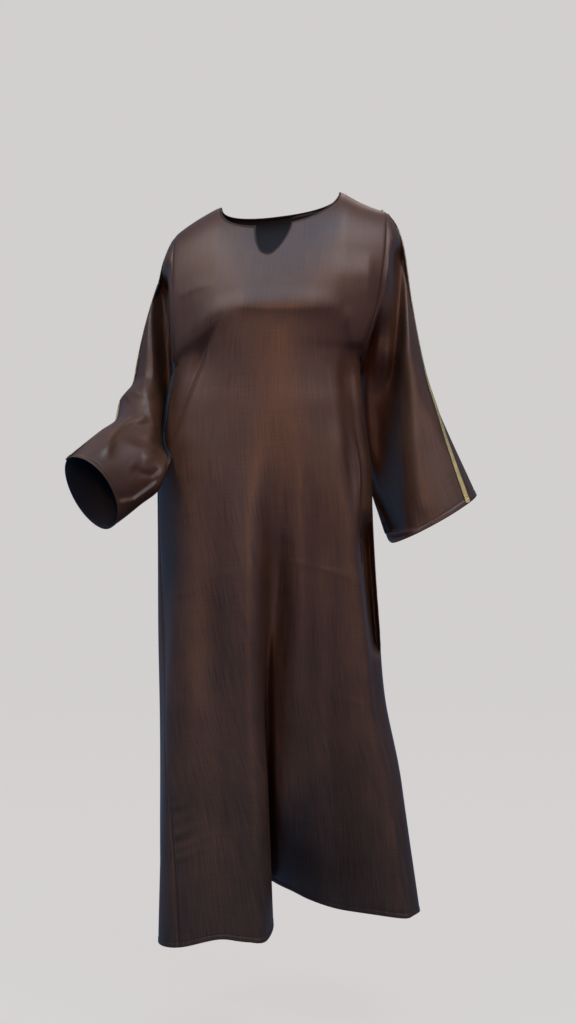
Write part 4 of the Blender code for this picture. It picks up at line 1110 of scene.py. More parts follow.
class Finish:
    """A material under construction."""

    def __init__(self, name):
        self.material = bpy.data.materials.new(name)
        self.material.use_nodes = True
        self.tree = self.material.node_tree
        self.shader = self.tree.nodes["Principled BSDF"]

    def node(self, kind, values=None, output=0, **settings):
        """Adds a node and returns one of its outputs, ready for expressions."""
        return Maths(self.tree, add_node(self.tree, kind, values, output, **settings))

    def mix(self, share, first, second):
        """A colour between two colours."""
        return self.node("ShaderNodeMix", {0: share, 6: first, 7: second}, 2, data_type="RGBA")

    def specks(self, scale, detail=2.0):
        """Even noise on the object's own coordinates."""
        place = self.node("ShaderNodeTexCoord", output=3)
        return self.node("ShaderNodeTexNoise", {"Vector": place, "Scale": scale, "Detail": detail})

    def threads(self, across, down, detail=2.0, roughness=0.5):
        """Noise on the cloth's coordinates, drawn out along its threads."""
        cloth = self.node("ShaderNodeTexCoord", output=2)
        place = self.node("ShaderNodeMapping", {"Vector": cloth, "Scale": (across, down, 1.0)})
        return self.node("ShaderNodeTexNoise", {"Vector": place, "Scale": 1.0, "Detail": detail,
                                                "Roughness": roughness})

    def raised(self, height, strength, depth):
        """The surface's direction with a small height in it."""
        return self.node("ShaderNodeBump", {"Strength": strength, "Distance": depth, "Height": height})

    def set(self, **values):
        """Sets or links sockets of the surface shader, spaces written as underscores."""
        for name, value in values.items():
            connect(self.tree, value, self.shader.inputs[name.replace("_", " ")])
        return self.material


def sway(value, size):
    """Noise, which lies between 0 and 1, made to swing round 0 and scaled."""
    return (value - 0.5) * size


def crepe_finish(settings):
    """Brown satin crepe: fine slubs down the cloth, a close weave and a soft sheen."""
    finish = Finish("brown_crepe")
    slubs = finish.threads(across=620.0, down=14.0, detail=3.0, roughness=0.6)
    cross = finish.threads(across=18.0, down=520.0, roughness=0.6)
    weave = finish.threads(across=1900.0, down=700.0, detail=1.0)
    clouds = finish.specks(scale=9.0, detail=3.0)
    tone = sway(slubs, 1.9) + sway(cross, 0.6) + sway(clouds, 0.9) + 0.5
    height = slubs * 0.5 + cross * 0.35 + weave * 0.4
    return finish.set(Base_Color=finish.mix(tone, tuple(settings.dark), tuple(settings.light)),
                      Roughness=sway(slubs, 0.22) + sway(clouds, 0.10) + settings.roughness,
                      Normal=finish.raised(height, strength=0.30, depth=0.0006),
                      Specular_IOR_Level=0.33)


def shaded_reverse_finish():
    """The dull reverse of the satin, greyer and darker than its face: its dull roughness is real, its dark bluish tone
    is painted shade, the cool shade seen inside the gown.
    """
    finish = Finish("crepe_reverse")
    weave = finish.threads(across=900.0, down=600.0, roughness=0.6)
    return finish.set(Base_Color=finish.mix(weave, REVERSE_SHADE_DARK, REVERSE_SHADE_LIGHT),
                      Roughness=sway(weave, 0.15) + 0.82,
                      Normal=finish.raised(weave, strength=0.25, depth=0.0004), Specular_IOR_Level=0.20)


def binding_finish(settings):
    """The same cloth, cut on the bias and darker, for the bound neckline."""
    finish = Finish("dark_binding")
    ribs = finish.threads(across=420.0, down=420.0)
    return finish.set(Base_Color=finish.mix(ribs, BINDING_DARK, tuple(settings.dark)),
                      Roughness=sway(ribs, 0.2) + 0.70,
                      Normal=finish.raised(ribs, strength=0.35, depth=0.0004), Specular_IOR_Level=0.20)


def gold_finish(settings):
    """Metal-wound thread, its tone and roughness varying in fine grains and larger patches."""
    finish = Finish("gold_braid")
    grains, patches = finish.specks(scale=1400.0), finish.specks(scale=90.0)
    tone = sway(grains, 1.4) + sway(patches, 0.8) + 0.55
    return finish.set(Base_Color=finish.mix(tone, GOLD_DEEP, tuple(settings.gold)), Metallic=0.75,
                      Roughness=sway(grains, 0.25) + 0.38,
                      Normal=finish.raised(grains, strength=0.5, depth=0.0003))


def border_finish(settings):
    """The dark thread that edges and backs the braid."""
    finish = Finish("braid_border")
    grains = finish.specks(scale=900.0)
    return finish.set(Base_Color=finish.mix(grains, tuple(settings.border), THREAD),
                      Roughness=sway(grains, 0.2) + 0.55,
                      Normal=finish.raised(grains, strength=0.5, depth=0.0003))


def thread_finish():
    """Sewing thread, a shade lighter than the cloth."""
    finish = Finish("sewing_thread")
    fibres = finish.specks(scale=1800.0, detail=1.0)
    return finish.set(Base_Color=finish.mix(fibres, CREPE_DARK, THREAD), Roughness=0.48)


def stage_finish(settings):
    """A plain pale backdrop, lit evenly from within."""
    return Finish("pale_stage").set(
        Base_Color=STAGE_PALE, Roughness=1.0, Specular_IOR_Level=0.0,
        Emission_Color=STAGE_GLOW, Emission_Strength=settings.glow)


def material(name):
    """One of the finishes, made when it is first asked for; a solid's of that name is renamed."""
    if name not in bpy.data.materials or not bpy.data.materials[name].get("made_here"):
        cloth = bpy.context.scene.abaya_cloth
        braid = bpy.context.scene.abaya_braid
        makers = {
            "brown_crepe": lambda: crepe_finish(cloth), "crepe_reverse": shaded_reverse_finish,
            "dark_binding": lambda: binding_finish(cloth),
            "gold_braid": lambda: gold_finish(braid), "braid_border": lambda: border_finish(braid),
            "sewing_thread": thread_finish,
            "pale_stage": lambda: stage_finish(bpy.context.scene.abaya_stage),
        }
        old = bpy.data.materials.get(name)
        if old:
            old.name = name + "_cad"
        made = makers[name]()
        made.name = name
        made["made_here"] = True
    return bpy.data.materials[name]


def add_object(name, data):
    """An object with its data, in the scene."""
    piece = bpy.data.objects.new(name, data)
    bpy.context.scene.collection.objects.link(piece)
    return piece


def add_mesh(name, points, faces, finish, places=None):
    """A smooth object from points and faces, with places as its cloth coordinates."""
    mesh = bpy.data.meshes.new(name)
    mesh.from_pydata(points.tolist(), [], faces)
    if places is not None:
        corners = np.empty(len(mesh.loops), dtype=np.int32)
        mesh.loops.foreach_get("vertex_index", corners)
        layer = mesh.uv_layers.new(name="cloth")
        layer.data.foreach_set("uv", places[corners].astype(np.float32).ravel())
    mesh.validate()
    mesh.materials.append(material(finish))
    mesh.shade_smooth()
    return add_object(name, mesh)


def shell(name, outer, inner, finish, places, outward, closed=False, reverse=None):
    """A thin wall between two grids of points; a closed one runs round on itself."""
    rows, columns = outer.shape[:2]
    size = rows * columns
    index = np.arange(size).reshape(rows, columns)
    right = np.roll(index, -1, axis=1) if closed else index[:, 1:]
    here = index if closed else index[:, :-1]
    quads = np.stack([here[:-1], here[1:], right[1:], right[:-1]], axis=-1).reshape(-1, 4)
    faces = [quads, quads[:, ::-1] + size]
    for row, flip in ((0, False), (rows - 1, True)):
        first, second = (right[row], here[row]) if flip else (here[row], right[row])
        faces.append(np.stack([first, second, second + size, first + size], axis=-1))
    if not closed:
        for column, flip in ((0, True), (columns - 1, False)):
            first, second = index[:-1, column], index[1:, column]
            first, second = (second, first) if flip else (first, second)
            faces.append(np.stack([first, second, second + size, first + size], axis=-1))
    faces = np.concatenate(faces)
    middle = rows // 2, columns // 2
    across = outer[middle[0], middle[1] + 1] - outer[middle]
    down = outer[middle[0] + 1, middle[1]] - outer[middle]
    if np.dot(np.cross(down, across), outward[middle]) < 0:
        faces = faces[:, ::-1]
    points = np.concatenate([outer.reshape(-1, 3), inner.reshape(-1, 3)])
    places = np.concatenate([places.reshape(-1, 2)] * 2)
    piece = add_mesh(name, points, faces.tolist(), finish, places)
    # The inner faces take the reverse finish, whose dark bluish tone is painted shade.
    if reverse:
        piece.data.materials.append(material(reverse))
        slots = np.zeros(len(piece.data.polygons), dtype=np.int32)
        slots[len(quads):2 * len(quads)] = 1
        piece.data.polygons.foreach_set("material_index", slots)
    return piece


def dress(piece, nodes, slot):
    """Puts a finished piece on the garment in place of its solids."""
    if nodes:
        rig.replaces(piece, *nodes)
    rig.ride(piece, "root")
    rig.slot(piece, slot)
    return piece


def hem_band(distance, settings):
    """Relief of a turned hem at distances above its edge: a groove at the stitches, full below."""
    groove = np.exp(-((distance - settings.hem_turn) / HEM_GROOVE) ** 2)
    return HEM_RISE * (ease((settings.hem_turn - distance) / HEM_EDGE) - groove)


def edge_levels(length, turn, step):
    """Ways down to an edge, even and then close together over its turned hem."""
    even = length - turn * HEM_START
    return np.concatenate([np.linspace(0.0, even, max(int(round(even / step)), 2)),
                           length - turn * np.array(HEM_LEVELS)])


def grid_normals(grid):
    """Outward directions of a panel's cloth."""
    return unit(np.cross(np.gradient(grid, axis=0), np.gradient(grid, axis=1)))


def soften(grid, weight):
    """The grid with bends across its rows eased out where the weight is high."""
    for _ in range(SOFTEN_ROUNDS):
        middle = grid.copy()
        middle[1:-1] = (grid[:-2] + grid[2:]) / 2
        grid = grid + (middle - grid) * weight[..., None] / 2
    return grid


def side_puckers(share, along):
    """Short pulls beside the left side seam, low on the front."""
    window = np.exp(-(share / PUCKER_SHARE) ** PUCKER_ROUND) * bump(along - PUCKER_ALONG, PUCKER_REACH)
    wander = np.sin(along * PUCKER_SWAY)
    return window * sum(height * np.sin(along * 2 * np.pi / length + share * slant + start + swing * wander)
                        for height, length, slant, start, swing in PUCKER_WAVES)


def facing_viewer(out, least, most):
    """How much cloth faces the viewer, as a share: none up to the least and one from the most."""
    return ease((-out[..., 1] - least) / (most - least))


def make_panel(panel, settings):
    """The front or the back, with its hem's line and the directions outward from that."""
    front = panel == "front"
    runs, lines = (FRONT_RUNS, FRONT_LINES) if front else (BACK_RUNS, ())
    step = settings.sample * (1.0 if front else BACK_STEP)
    levels = ARMHOLE_LENGTH + edge_levels(HEM_ALONG - ARMHOLE_LENGTH, settings.hem_turn, step)
    angles, alongs, shares = panel_grid(panel, runs, lines, settings.binding_width * BINDING_COVER,
                                        int(round(ARMHOLE_LENGTH / step)), levels)
    base, out = body_surface(angles, alongs), body_normal(angles, alongs, panel)
    width = np.sum(np.linalg.norm(np.diff(base, axis=1), axis=-1), axis=1, keepdims=True)
    beside = np.minimum(shares, 1 - shares) * width
    base = soften(base, bump(alongs - ARMHOLE_LENGTH, ARMPIT_REACH) * ease(beside / ARMPIT_FADE))
    rise = settings.wave * undulation(base, PANEL_WAVE, WAVE_SEEDS[panel])
    push = np.zeros(rise.shape)
    if front:
        push = relief(base, FRONT_RELIEF) * facing_viewer(out, *PANEL_FACING) * settings.fold
        rise = rise + side_puckers(shares, alongs)
    fade = ease(beside / SEAM_FADE)
    armpit = bump(alongs - ARMHOLE_LENGTH - ARMPIT_DROP, ARMPIT_HEIGHT)
    seam = settings.seam_dip * (1 - 2 * armpit) * np.exp(-(beside / SEAM_WIDTH) ** 2)
    rise = rise * fade - seam + hem_band(HEM_ALONG - alongs, settings)
    outer = base + out * rise[..., None] - VIEW_AXIS * (push * fade)[..., None]
    inside = ease((beside - EDGE_FLAT) / SEAM_FADE)[..., None]
    out = unit(out * (1 - inside) + grid_normals(outer) * inside)
    inner = outer - out * settings.wall
    below = alongs[:, 0] >= ARMHOLE_LENGTH
    for grid in (outer, inner):
        for edge, beside_edge in ((0, 1), (-1, -2)):
            inward = unit(grid[below, beside_edge] - grid[below, edge])
            grid[below, edge] += inward * settings.seam_gap / 2
    places = np.stack([(shares - 0.5) * PLACE_WIDTH + PLACE_MIDDLES[panel], -alongs], axis=-1)
    piece = shell(panel + "_cloth", outer, inner, "brown_crepe", places, out, reverse="crepe_reverse")
    row = int(np.argmax(alongs[:, 0] >= HEM_ALONG - settings.hem_turn - 1e-6))
    return dress(piece, [panel + "_panel"], "brown_crepe"), outer[row], out[row]


def sleeve_parts(side, settings):
    """Shares of a sleeve's length for its rings, close together over the cuff's hem."""
    steps = np.linspace(0, 1, SLEEVE_LEVELS)
    length = lengths(sleeve_ring(side, 90.0, steps))
    levels = edge_levels(length[-1], settings.hem_turn, settings.sample * SLEEVE_STEP)
    return np.interp(levels, length, steps), length[-1] - levels


def make_sleeve(side, settings):
    """A sleeve, with its rings, their outward directions and the row of the cuff's stitches."""
    parts, before_cuff = sleeve_parts(side, settings)
    around = np.arange(settings.sleeve_around) * 360 / settings.sleeve_around
    turns = RIBBON.at(side, parts)[:, None] + around[None, :]
    parts = np.repeat(parts[:, None], len(around), axis=1)
    outer = sleeve_surface(side, turns, parts)
    shift = relief(outer, SLEEVE_SHIFT[side]) * ease(parts / SHIFT_FADE)
    outer = outer - VIEW_AXIS * shift[..., None]
    body_out = armhole_loop(side, turns[0])[1]
    away = unit(np.cross(np.roll(outer[0], -1, axis=0) - np.roll(outer[0], 1, axis=0), body_out))
    if np.dot(away[0], outer[1, 0] - outer[0, 0]) < 0:
        away = -away
    outer[0] += away * settings.seam_gap
    out = ring_normals(outer, side)
    rise = settings.wave * SLEEVE_WAVE_SHARE * undulation(outer, SLEEVE_WAVE, WAVE_SEEDS[side])
    push = relief(outer, SLEEVE_RELIEF[side]) * facing_viewer(out, *SLEEVE_FACING) * settings.fold
    beside_braid = np.radians(np.abs(np.mod(around + 180, 360) - 180)) * SLEEVE_RADIUS
    fade = ease(parts / SLEEVE_FADE) * ease((beside_braid - BRAID_CLEAR) / BRAID_FADE)[None, :]
    rise = rise * fade - settings.seam_dip * np.exp(-(parts / SLEEVE_SEAM) ** 2)
    rise = rise + hem_band(before_cuff, settings)[:, None]
    outer = outer + out * rise[..., None] - VIEW_AXIS * (push * fade)[..., None]
    outer = clear_of_body(outer, settings.clearance, settings.clearance * CLEAR_AT_SEAM)
    out = ring_normals(outer, side)
    leaning = np.maximum(np.sum(out[0] * away, axis=-1, keepdims=True), 0)
    out[0] = unit(out[0] - away * leaning)
    tucked, tucked_inner = tuck_in(outer[0], body_out, away, settings)
    inner = np.concatenate([tucked_inner, outer - out * settings.wall])
    outer, out = np.concatenate([tucked, outer]), np.concatenate([out[:1], out[:1], out])
    steps = np.linalg.norm(np.roll(outer, -1, axis=1) - outer, axis=-1)
    across = np.concatenate([np.zeros((len(outer), 1)), np.cumsum(steps, axis=1)[:, :-1]], axis=1)
    downs = np.concatenate([TUCK_PLACES, before_cuff[0] - before_cuff])
    places = np.stack(np.broadcast_arrays(across, -downs[:, None]), axis=-1)
    piece = shell("sleeve_cloth_" + side, outer, inner, "brown_crepe", places, out,
                  closed=True, reverse="crepe_reverse")
    row = int(np.argmax(before_cuff <= settings.hem_turn + 1e-6)) + len(tucked)
    return dress(piece, ["sleeve_" + side], "brown_crepe"), outer, out, row


def ring_normals(rings, side):
    """Outward directions of a tube's rings."""
    around = np.roll(rings, -1, axis=1) - np.roll(rings, 1, axis=1)
    down = np.gradient(rings, axis=0)
    return unit(np.cross(down, around)) * (1 if side == "left" else -1)


def tuck_in(edge, body_out, away, settings):
    """The sleeve's seam allowance, rings that lie behind the edge of the armhole."""
    outer = np.stack([edge - body_out * (settings.wall + under) - away * reach
                      for reach, under in TUCKS])
    return outer, outer - body_out * settings.wall * TUCK_WALL


def binding_ring(settings):
    """The bound edge round the neck opening: a rounded strip over both faces of the cloth."""
    rails = []
    for outset in (0.0, settings.binding_width):
        points, outs = [], []
        for run, count, _ in FRONT_RUNS[1:-1] + BACK_RUNS[1:-1]:
            panel = "back" if run == "neck_back" else "front"
            angle, along = top_edge(panel, run, outset, count * 2)
            points.append(body_surface(angle, along)[:-1])
            outs.append(body_normal(angle, along, panel)[:-1])
        rails.append((np.concatenate(points), np.concatenate(outs)))
    (inner_edge, inner_out), (outer_edge, outer_out) = rails
    middle, wide = (inner_edge + outer_edge) / 2, (outer_edge - inner_edge) / 2
    out = unit(inner_out + outer_out)
    turn = np.linspace(0, 2 * np.pi, BINDING_SIDES, endpoint=False)
    side, rise = signed_power(np.cos(turn), BINDING_SQUARE), signed_power(np.sin(turn), BINDING_SQUARE)
    lift = rise * (settings.wall / 2 + BINDING_OVER) - settings.wall / 2
    return middle[:, None] + wide[:, None] * side[None, :, None] + out[:, None] * lift[None, :, None]


def tube(name, rings, finish):
    """A closed tube that runs round on itself both ways."""
    rows, columns = rings.shape[:2]
    index = np.arange(rows * columns).reshape(rows, columns)
    after, beside = np.roll(index, -1, axis=0), np.roll(index, -1, axis=1)
    both = np.roll(after, -1, axis=1)
    quads = np.stack([index, after, both, beside], axis=-1).reshape(-1, 4)
    centre = rings.mean(axis=1)
    first = rings[0, 0] - centre[0]
    normal = np.cross(rings[1, 0] - rings[0, 0], rings[0, 1] - rings[0, 0])
    if np.dot(normal, first) < 0:
        quads = quads[:, ::-1]
    run = np.linalg.norm(np.diff(centre, axis=0, append=centre[:1]), axis=1)
    places = np.stack(np.broadcast_arrays(np.cumsum(run)[:, None],
                                          np.linspace(0, BINDING_PLACES, columns)[None, :]), axis=-1)
    return add_mesh(name, rings.reshape(-1, 3), quads.tolist(), finish, places.reshape(-1, 2))


def bead_tree(name):
    """A node tree that lays a rounded bead on each point, turned by the point's own directions."""
    tree = bpy.data.node_groups.new(name, "GeometryNodeTree")

    def socket(label, kind, way="INPUT"):
        return tree.interface.new_socket(label, in_out=way, socket_type="NodeSocket" + kind)

    def add(kind, *inputs, **settings):
        return add_node(tree, kind, *inputs, **settings)

    def direction(label):
        return add("GeometryNodeInputNamedAttribute", {"Name": label}, "Attribute",
                   data_type="FLOAT_VECTOR")

    socket("Geometry", "Geometry")
    for label, default in BEAD_SIZE.items():
        socket(label, "Float").default_value = default
    socket("Material", "Material")
    socket("Geometry", "Geometry", "OUTPUT")
    given = tree.nodes.new("NodeGroupInput").outputs
    bead = add("GeometryNodeMeshUVSphere", {"Segments": 6, "Rings": 5, "Radius": 0.5}, "Mesh")
    size = add("ShaderNodeCombineXYZ", {axis: given[label] for axis, label in zip("XYZ", BEAD_SIZE)})
    bead = add("GeometryNodeTransform", {"Geometry": bead, "Scale": size})
    upright = add("FunctionNodeAlignRotationToVector", {"Vector": direction("out")}, axis="Z")
    turned = add("FunctionNodeAlignRotationToVector",
                 {"Rotation": upright, "Vector": direction("ahead")}, axis="X", pivot_axis="Z")
    made = add("GeometryNodeInstanceOnPoints",
               {"Points": given["Geometry"], "Instance": bead, "Rotation": turned})
    for kind, values in (("RealizeInstances", {}), ("SetShadeSmooth", {}),
                         ("SetMaterial", {"Material": given["Material"]})):
        made = add("GeometryNode" + kind, {"Geometry": made, **values})
    add("NodeGroupOutput", {"Geometry": made})
    return tree


def lay_beads(name, points, out, ahead, size, finish):
    """Rounded beads along points as one plain mesh; size is their length, width and height."""
    path = bpy.data.meshes.new(name + "_path")
    path.from_pydata(points.tolist(), [], [])
    for label, values in (("out", out), ("ahead", ahead)):
        attribute = path.attributes.new(label, "FLOAT_VECTOR", "POINT")
        attribute.data.foreach_set("vector", values.astype(np.float32).ravel())
    holder = add_object(name + "_path", path)
    tree = bpy.data.node_groups.get("beads") or bead_tree("beads")
    modifier = holder.modifiers.new("beads", "NODES")
    modifier.node_group = tree
    sockets = {item.name: item.identifier for item in tree.interface.items_tree
               if item.in_out == "INPUT"}
    for label, value in zip(BEAD_SIZE, size):
        modifier[sockets[label]] = float(value)
    modifier[sockets["Material"]] = material(finish)
    graph = bpy.context.evaluated_depsgraph_get()
    mesh = bpy.data.meshes.new_from_object(holder.evaluated_get(graph))
    mesh.name = name
    bpy.data.objects.remove(holder)
    return add_object(name, mesh)


def along_line(line, out, pitch, closed=False):
    """Points at an even pitch along a line, with its outward and forward directions there."""
    if closed:
        line, out = np.concatenate([line, line[:1]]), np.concatenate([out, out[:1]])
    length = lengths(line)
    count = max(int(length[-1] / pitch), 2)
    places = (np.arange(count) + 0.5) * length[-1] / count
    point, up = (np.stack([np.interp(places, length, values[:, axis]) for axis in range(3)], axis=-1)
                 for values in (line, out))
    return point, unit(up), unit(np.gradient(point, axis=0))


def add_stitches(name, line, out, settings, closed=False):
    """A line of machine stitches on the cloth."""
    point, up, ahead = along_line(line, out, settings.stitch_pitch, closed)
    point = point + up * settings.thread * STITCH_LIFT
    size = (settings.stitch_pitch * STITCH_SHARE, settings.thread, settings.thread)
    return dress(lay_beads(name, point, up, ahead, size, "sewing_thread"), [], "brown_crepe")


def make_braid(side, rings, normals, settings, cloth):
    """The braid along a sleeve: a dark band, two cords at its edges and rows of gold strands."""
    half = settings.width / 2
    rows = slice(BRAID_FIRST, len(rings) - 1)
    middle, out = rings[rows, 0], normals[rows, 0]
    across = unit(np.cross(out, unit(np.gradient(middle, axis=0))))
    offsets = np.linspace(-1, 1, BAND_COLUMNS)
    base = middle[:, None] + across[:, None] * (offsets * half)[None, :, None]
    base = hug(base, rings[rows], out, across)
    lift = cloth.braid_lift + settings.thickness * (1 - BAND_ROUND * np.abs(offsets) ** BAND_POWER)
    raised = base + out[:, None] * lift[None, :, None]
    low = base + out[:, None] * cloth.braid_lift * BAND_LOW
    band = shell("braid_band_" + side, raised, low, "braid_border", np.zeros(base.shape[:2] + (2,)),
                 np.repeat(out[:, None], len(offsets), axis=1))
    dress(band, ["sleeve_ribbon_" + side], "gold_braid")
    room = (settings.pitch, half * 2 / settings.strands, settings.thickness)
    strands = bead_rows("braid_strands_" + side, raised, out,
                        np.linspace(-STRAND_REACH, STRAND_REACH, settings.strands), settings.pitch,
                        [share * size for share, size in zip(STRAND_SHARES, room)], "gold_braid",
                        np.radians(settings.lean), settings.thickness * STRAND_LIFT)
    cords = bead_rows("braid_cords_" + side, raised, out, (-CORD_REACH, CORD_REACH),
                      settings.pitch * CORD_PITCH, (settings.pitch * CORD_LENGTH, *CORD_SECTION),
                      "braid_border")
    return band, [strands, cords]


def bead_rows(name, band, out, shares, pitch, size, finish, lean=0.0, lift=0.0):
    """Rows of beads along a band; where they lean, every other row leans the other way."""
    points, ups, aheads = [], [], []
    for column, share in enumerate(shares):
        point, up, ahead = along_line(interpolate_columns(band, (share + 1) / 2), out, pitch)
        odd = column % 2
        shift = pitch / 2 if lean and odd else 0.0
        turn = lean if odd else -lean
        points.append(point + ahead * shift + up * lift)
        ups.append(up)
        aheads.append(ahead * np.cos(turn) + unit(np.cross(up, ahead)) * np.sin(turn))
    piece = lay_beads(name, *map(np.concatenate, (points, ups, aheads)), size, finish)
    return dress(piece, [], "gold_braid")


def hug(base, rings, out, across):
    """The band's points let down on to the cloth at both sides of its middle.

    The ring's next point leads, or the third one where the next lies on the other side.
    """
    middle = rings[:, 0]
    offset = np.sum((base - middle[:, None]) * across[:, None], axis=-1)
    flat = base.copy()
    for sign in (-1, 1):
        waiting = np.ones(offset.shape, bool)
        for step in (1, 3):
            spot = rings[:, sign * step] - middle
            reach, fall = (np.sum(spot * way, axis=-1)[:, None] for way in (across, out))
            share = np.minimum(np.abs(offset) / np.maximum(np.abs(reach), 1e-6), 1.0)
            lies = waiting & (reach * offset > 0)
            flat[lies] = (base + out[:, None] * (fall * share ** 2)[..., None])[lies]
            waiting &= ~lies
    return flat


def interpolate_columns(grid, share):
    """The line at a share of the way across a grid's columns."""
    place = share * (grid.shape[1] - 1)
    low = min(int(place), grid.shape[1] - 2)
    return grid[:, low] + (grid[:, low + 1] - grid[:, low]) * (place - low)


def number(name, description, default, **kind):
    """A number among the settings; kind is its unit or subtype."""
    return bpy.props.FloatProperty(name=name, description=description, default=default, **kind)


def metres(name, description, default):
    """A length among the settings."""
    return number(name, description, default, unit="LENGTH")


def whole(name, description, default):
    """A whole number among the settings."""
    return bpy.props.IntProperty(name=name, description=description, default=default)


def tint(name, description, default):
    """A colour among the settings."""
    return bpy.props.FloatVectorProperty(name=name, description=description, default=default, size=4,
                                         subtype="COLOR")


class ClothSettings(bpy.types.PropertyGroup):
    """Sizes and colours of the cloth."""

    wall: metres("Wall", "Thickness of the cloth", 0.0010)
    hem_turn: metres("Hem turn", "Depth of the turned hems", 0.0080)
    binding_width: metres("Binding width", "Width of the neck binding", 0.0040)
    seam_gap: metres("Seam gap", "Gap between sewn pieces", 0.0003)
    seam_dip: metres("Seam dip", "How far the cloth sinks at a seam", 0.0008)
    clearance: metres("Clearance", "Least gap from sleeve to body", SLEEVE_CLEARANCE)
    wave: metres("Wave", "Height of the cloth's slow waves", 0.0022)
    fold: number("Fold", "Strength of folds and creases", 1.0, subtype="FACTOR")
    sample: metres("Sample", "Distance between rows of points", 0.0043)
    sleeve_around: whole("Points around", "Points round a sleeve", 168)
    stitch_pitch: metres("Stitch pitch", "Length of one stitch", 0.0032)
    thread: metres("Thread", "Thickness of the sewing thread", 0.0005)
    braid_lift: metres("Braid lift", "Gap under the braid", 0.0006)
    roughness: number("Roughness", "Roughness of the satin face", 0.50, subtype="FACTOR")
    dark: tint("Dark", "Darker threads", CREPE_DARK)
    light: tint("Light", "Lighter threads", CREPE_LIGHT)


class BraidSettings(bpy.types.PropertyGroup):
    """Sizes and colours of the braid."""

    width: metres("Width", "Width of the braid", 0.0100)
    thickness: metres("Thickness", "Thickness of the braid", 0.0011)
    pitch: metres("Pitch", "Distance between strands", 0.0021)
    strands: whole("Strands", "Strands across the braid", 5)
    lean: number("Lean", "Slant of the strands, in degrees", 38.0)
    gold: tint("Gold", "Bright gold thread", GOLD_BRIGHT)
    border: tint("Border", "Edge thread", OLIVE)


class StageSettings(bpy.types.PropertyGroup):
    """The stage, its light and the camera."""

    floor: metres("Floor", "Height of the floor", -1.45)
    top: number("Top", "Power of the cool light above the front, in watts", 46.0)
    left: number("Left", "Power of the light high on the left, in watts", 35.0)
    right: number("Right", "Power of the light high on the right, in watts", 42.0)
    beam: number("Beam", "Power of the warm light from the front, in watts", 1.6)
    back: number("Back", "Power of the light high behind, in watts", 40.0)
    ambient: number("Ambient", "Strength of the light from all round", 0.40)
    glow: number("Glow", "The backdrop's own light", 0.640)
    distance: metres("Distance", "From the camera to the gown", 3.0)
    lens: number("Lens", "Focal length, in millimetres", 59.6)


def state_sheet(piece, name, trims):
    """States the flat cloth that a piece is made of."""
    width, length, area = SHEETS[name]
    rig.sheet(piece, flat=(width, length), held="hung", area=area, with_pieces=trims)


class ABAYA_OT_body(bpy.types.Operator):
    """Make the front and the back, with the hem and its stitches"""

    bl_idname = "abaya.body"
    bl_label = "Front and back"

    def execute(self, context):
        cloth = context.scene.abaya_cloth
        for panel in ("front", "back"):
            piece, line, out = make_panel(panel, cloth)
            state_sheet(piece, panel, [add_stitches("hem_stitches_" + panel, line, out, cloth)])
        return {"FINISHED"}


class ABAYA_OT_sleeves(bpy.types.Operator):
    """Make both sleeves with their cuffs' stitches and their braid"""

    bl_idname = "abaya.sleeves"
    bl_label = "Sleeves and braid"

    def execute(self, context):
        cloth, braid = context.scene.abaya_cloth, context.scene.abaya_braid
        for side in ("right", "left"):
            piece, rings, out, row = make_sleeve(side, cloth)
            stitches = add_stitches("cuff_stitches_" + side, rings[row], out[row], cloth, True)
            band, trims = make_braid(side, rings, out, braid, cloth)
            state_sheet(piece, side, [stitches, band] + trims)
        return {"FINISHED"}


class ABAYA_OT_binding(bpy.types.Operator):
    """Make the binding round the neck opening"""

    bl_idname = "abaya.binding"
    bl_label = "Neck binding"

    def execute(self, context):
        piece = tube("neck_edge", binding_ring(context.scene.abaya_cloth), "dark_binding")
        dress(piece, ["neck_binding"], "dark_binding")
        return {"FINISHED"}


class ABAYA_OT_stage(bpy.types.Operator):
    """Make the floor and backdrop, the lights and the camera"""

    bl_idname = "abaya.stage"
    bl_label = "Stage"

    def execute(self, context):
        scene, settings = context.scene, context.scene.abaya_stage
        add_backdrop(settings)
        for name, light in LIGHTS.items():
            add_light(name, getattr(settings, name), *light)
        scene.world = bpy.data.worlds.new("studio")
        scene.world.use_nodes = True
        background = scene.world.node_tree.nodes["Background"].inputs
        background["Color"].default_value = AMBIENT
        background["Strength"].default_value = settings.ambient
        scene.view_settings.view_transform = "Standard"
        camera = bpy.data.cameras.new("camera")
        camera.lens = settings.lens
        scene.camera = add_object("camera", camera)
        scene.camera.location = (VIEWER[0], -settings.distance, VIEWER[2])
        scene.camera.rotation_euler = (np.pi / 2, 0.0, 0.0)
        return {"FINISHED"}


class ABAYA_PT_panel(bpy.types.Panel):
    """Settings and steps of the gown"""

    bl_idname = "ABAYA_PT_panel"
    bl_label = "Abaya"
    bl_space_type = "VIEW_3D"
    bl_region_type = "UI"
    bl_category = "Abaya"

    def draw(self, context):
        for group in (context.scene.abaya_cloth, context.scene.abaya_braid, context.scene.abaya_stage):
            box = self.layout.box()
            for name in group.__annotations__:
                box.prop(group, name)
        for step in STEPS:
            self.layout.operator(step.bl_idname)


def add_light(name, power, place, target, size, spread, colour):
    """A soft rectangular light that the camera doesn't see."""
    light = bpy.data.lights.new(name, "AREA")
    light.shape = "RECTANGLE"
    light.size, light.size_y = size
    light.spread = np.radians(spread)
    light.energy, light.color = power, colour
    holder = add_object(name, light)
    holder.location = place
    holder.rotation_euler = (Vector(target) - Vector(place)).to_track_quat("-Z", "Y").to_euler()
    holder.visible_camera = False


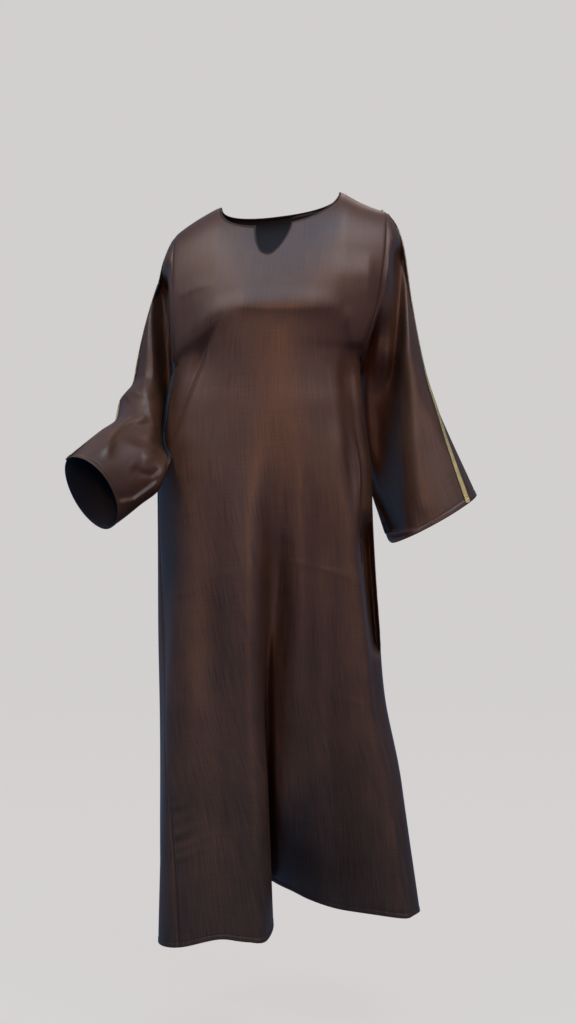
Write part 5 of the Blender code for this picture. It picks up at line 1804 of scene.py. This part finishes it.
def add_backdrop(settings):
    """A round floor that curves up into a wall on every side."""
    turn = np.linspace(0, np.pi / 2, STAGE_STEPS)
    away = np.concatenate([[STAGE_HUB], STAGE_REACH - STAGE_CURVE * (1 - np.sin(turn)), [STAGE_REACH]])
    height = np.concatenate([[0.0], STAGE_CURVE * (1 - np.cos(turn)), [STAGE_TOP]]) + settings.floor
    round_it = np.linspace(0, 2 * np.pi, STAGE_SIDES, endpoint=False)
    rings = np.stack(np.broadcast_arrays(away[:, None] * np.cos(round_it), away[:, None] * np.sin(round_it),
                                         height[:, None]), axis=-1)
    index = np.arange(rings.shape[0] * STAGE_SIDES).reshape(rings.shape[:2])
    beside = np.roll(index, -1, axis=1)
    quads = np.stack([index[:-1], beside[:-1], beside[1:], index[1:]], axis=-1).reshape(-1, 4)
    faces = quads.tolist() + [index[0, ::-1].tolist()]
    piece = add_mesh("backdrop", rings.reshape(-1, 3), faces, "pale_stage")
    piece.visible_diffuse = piece.visible_glossy = piece.visible_shadow = False
    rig.stage(piece)


STEPS = (ABAYA_OT_body, ABAYA_OT_sleeves, ABAYA_OT_binding, ABAYA_OT_stage)
GROUPS = {"abaya_cloth": ClothSettings, "abaya_braid": BraidSettings, "abaya_stage": StageSettings}


def register():
    """Adds the settings, the steps and the panel."""
    for name, group in GROUPS.items():
        bpy.utils.register_class(group)
        setattr(bpy.types.Scene, name, bpy.props.PointerProperty(type=group))
    for item in STEPS + (ABAYA_PT_panel,):
        bpy.utils.register_class(item)


def unregister():
    """Takes the panel, the steps and the settings away again."""
    for item in (ABAYA_PT_panel,) + STEPS[::-1]:
        bpy.utils.unregister_class(item)
    for name, group in GROUPS.items():
        delattr(bpy.types.Scene, name)
        bpy.utils.unregister_class(group)


def main():
    """Registers the add-on, makes every piece in order and writes both sizes."""
    register()
    bpy.ops.abaya.body()
    bpy.ops.abaya.sleeves()
    bpy.ops.abaya.binding()
    bpy.ops.abaya.stage()
    sizes = {"cad": [list(corner) for corner in CAD_BOX],
             "visual": [list(corner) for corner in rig.bounds()]}
    with open(SIZE_FILE, "w") as file:
        json.dump(sizes, file)


if __name__ == "__main__":
    main()
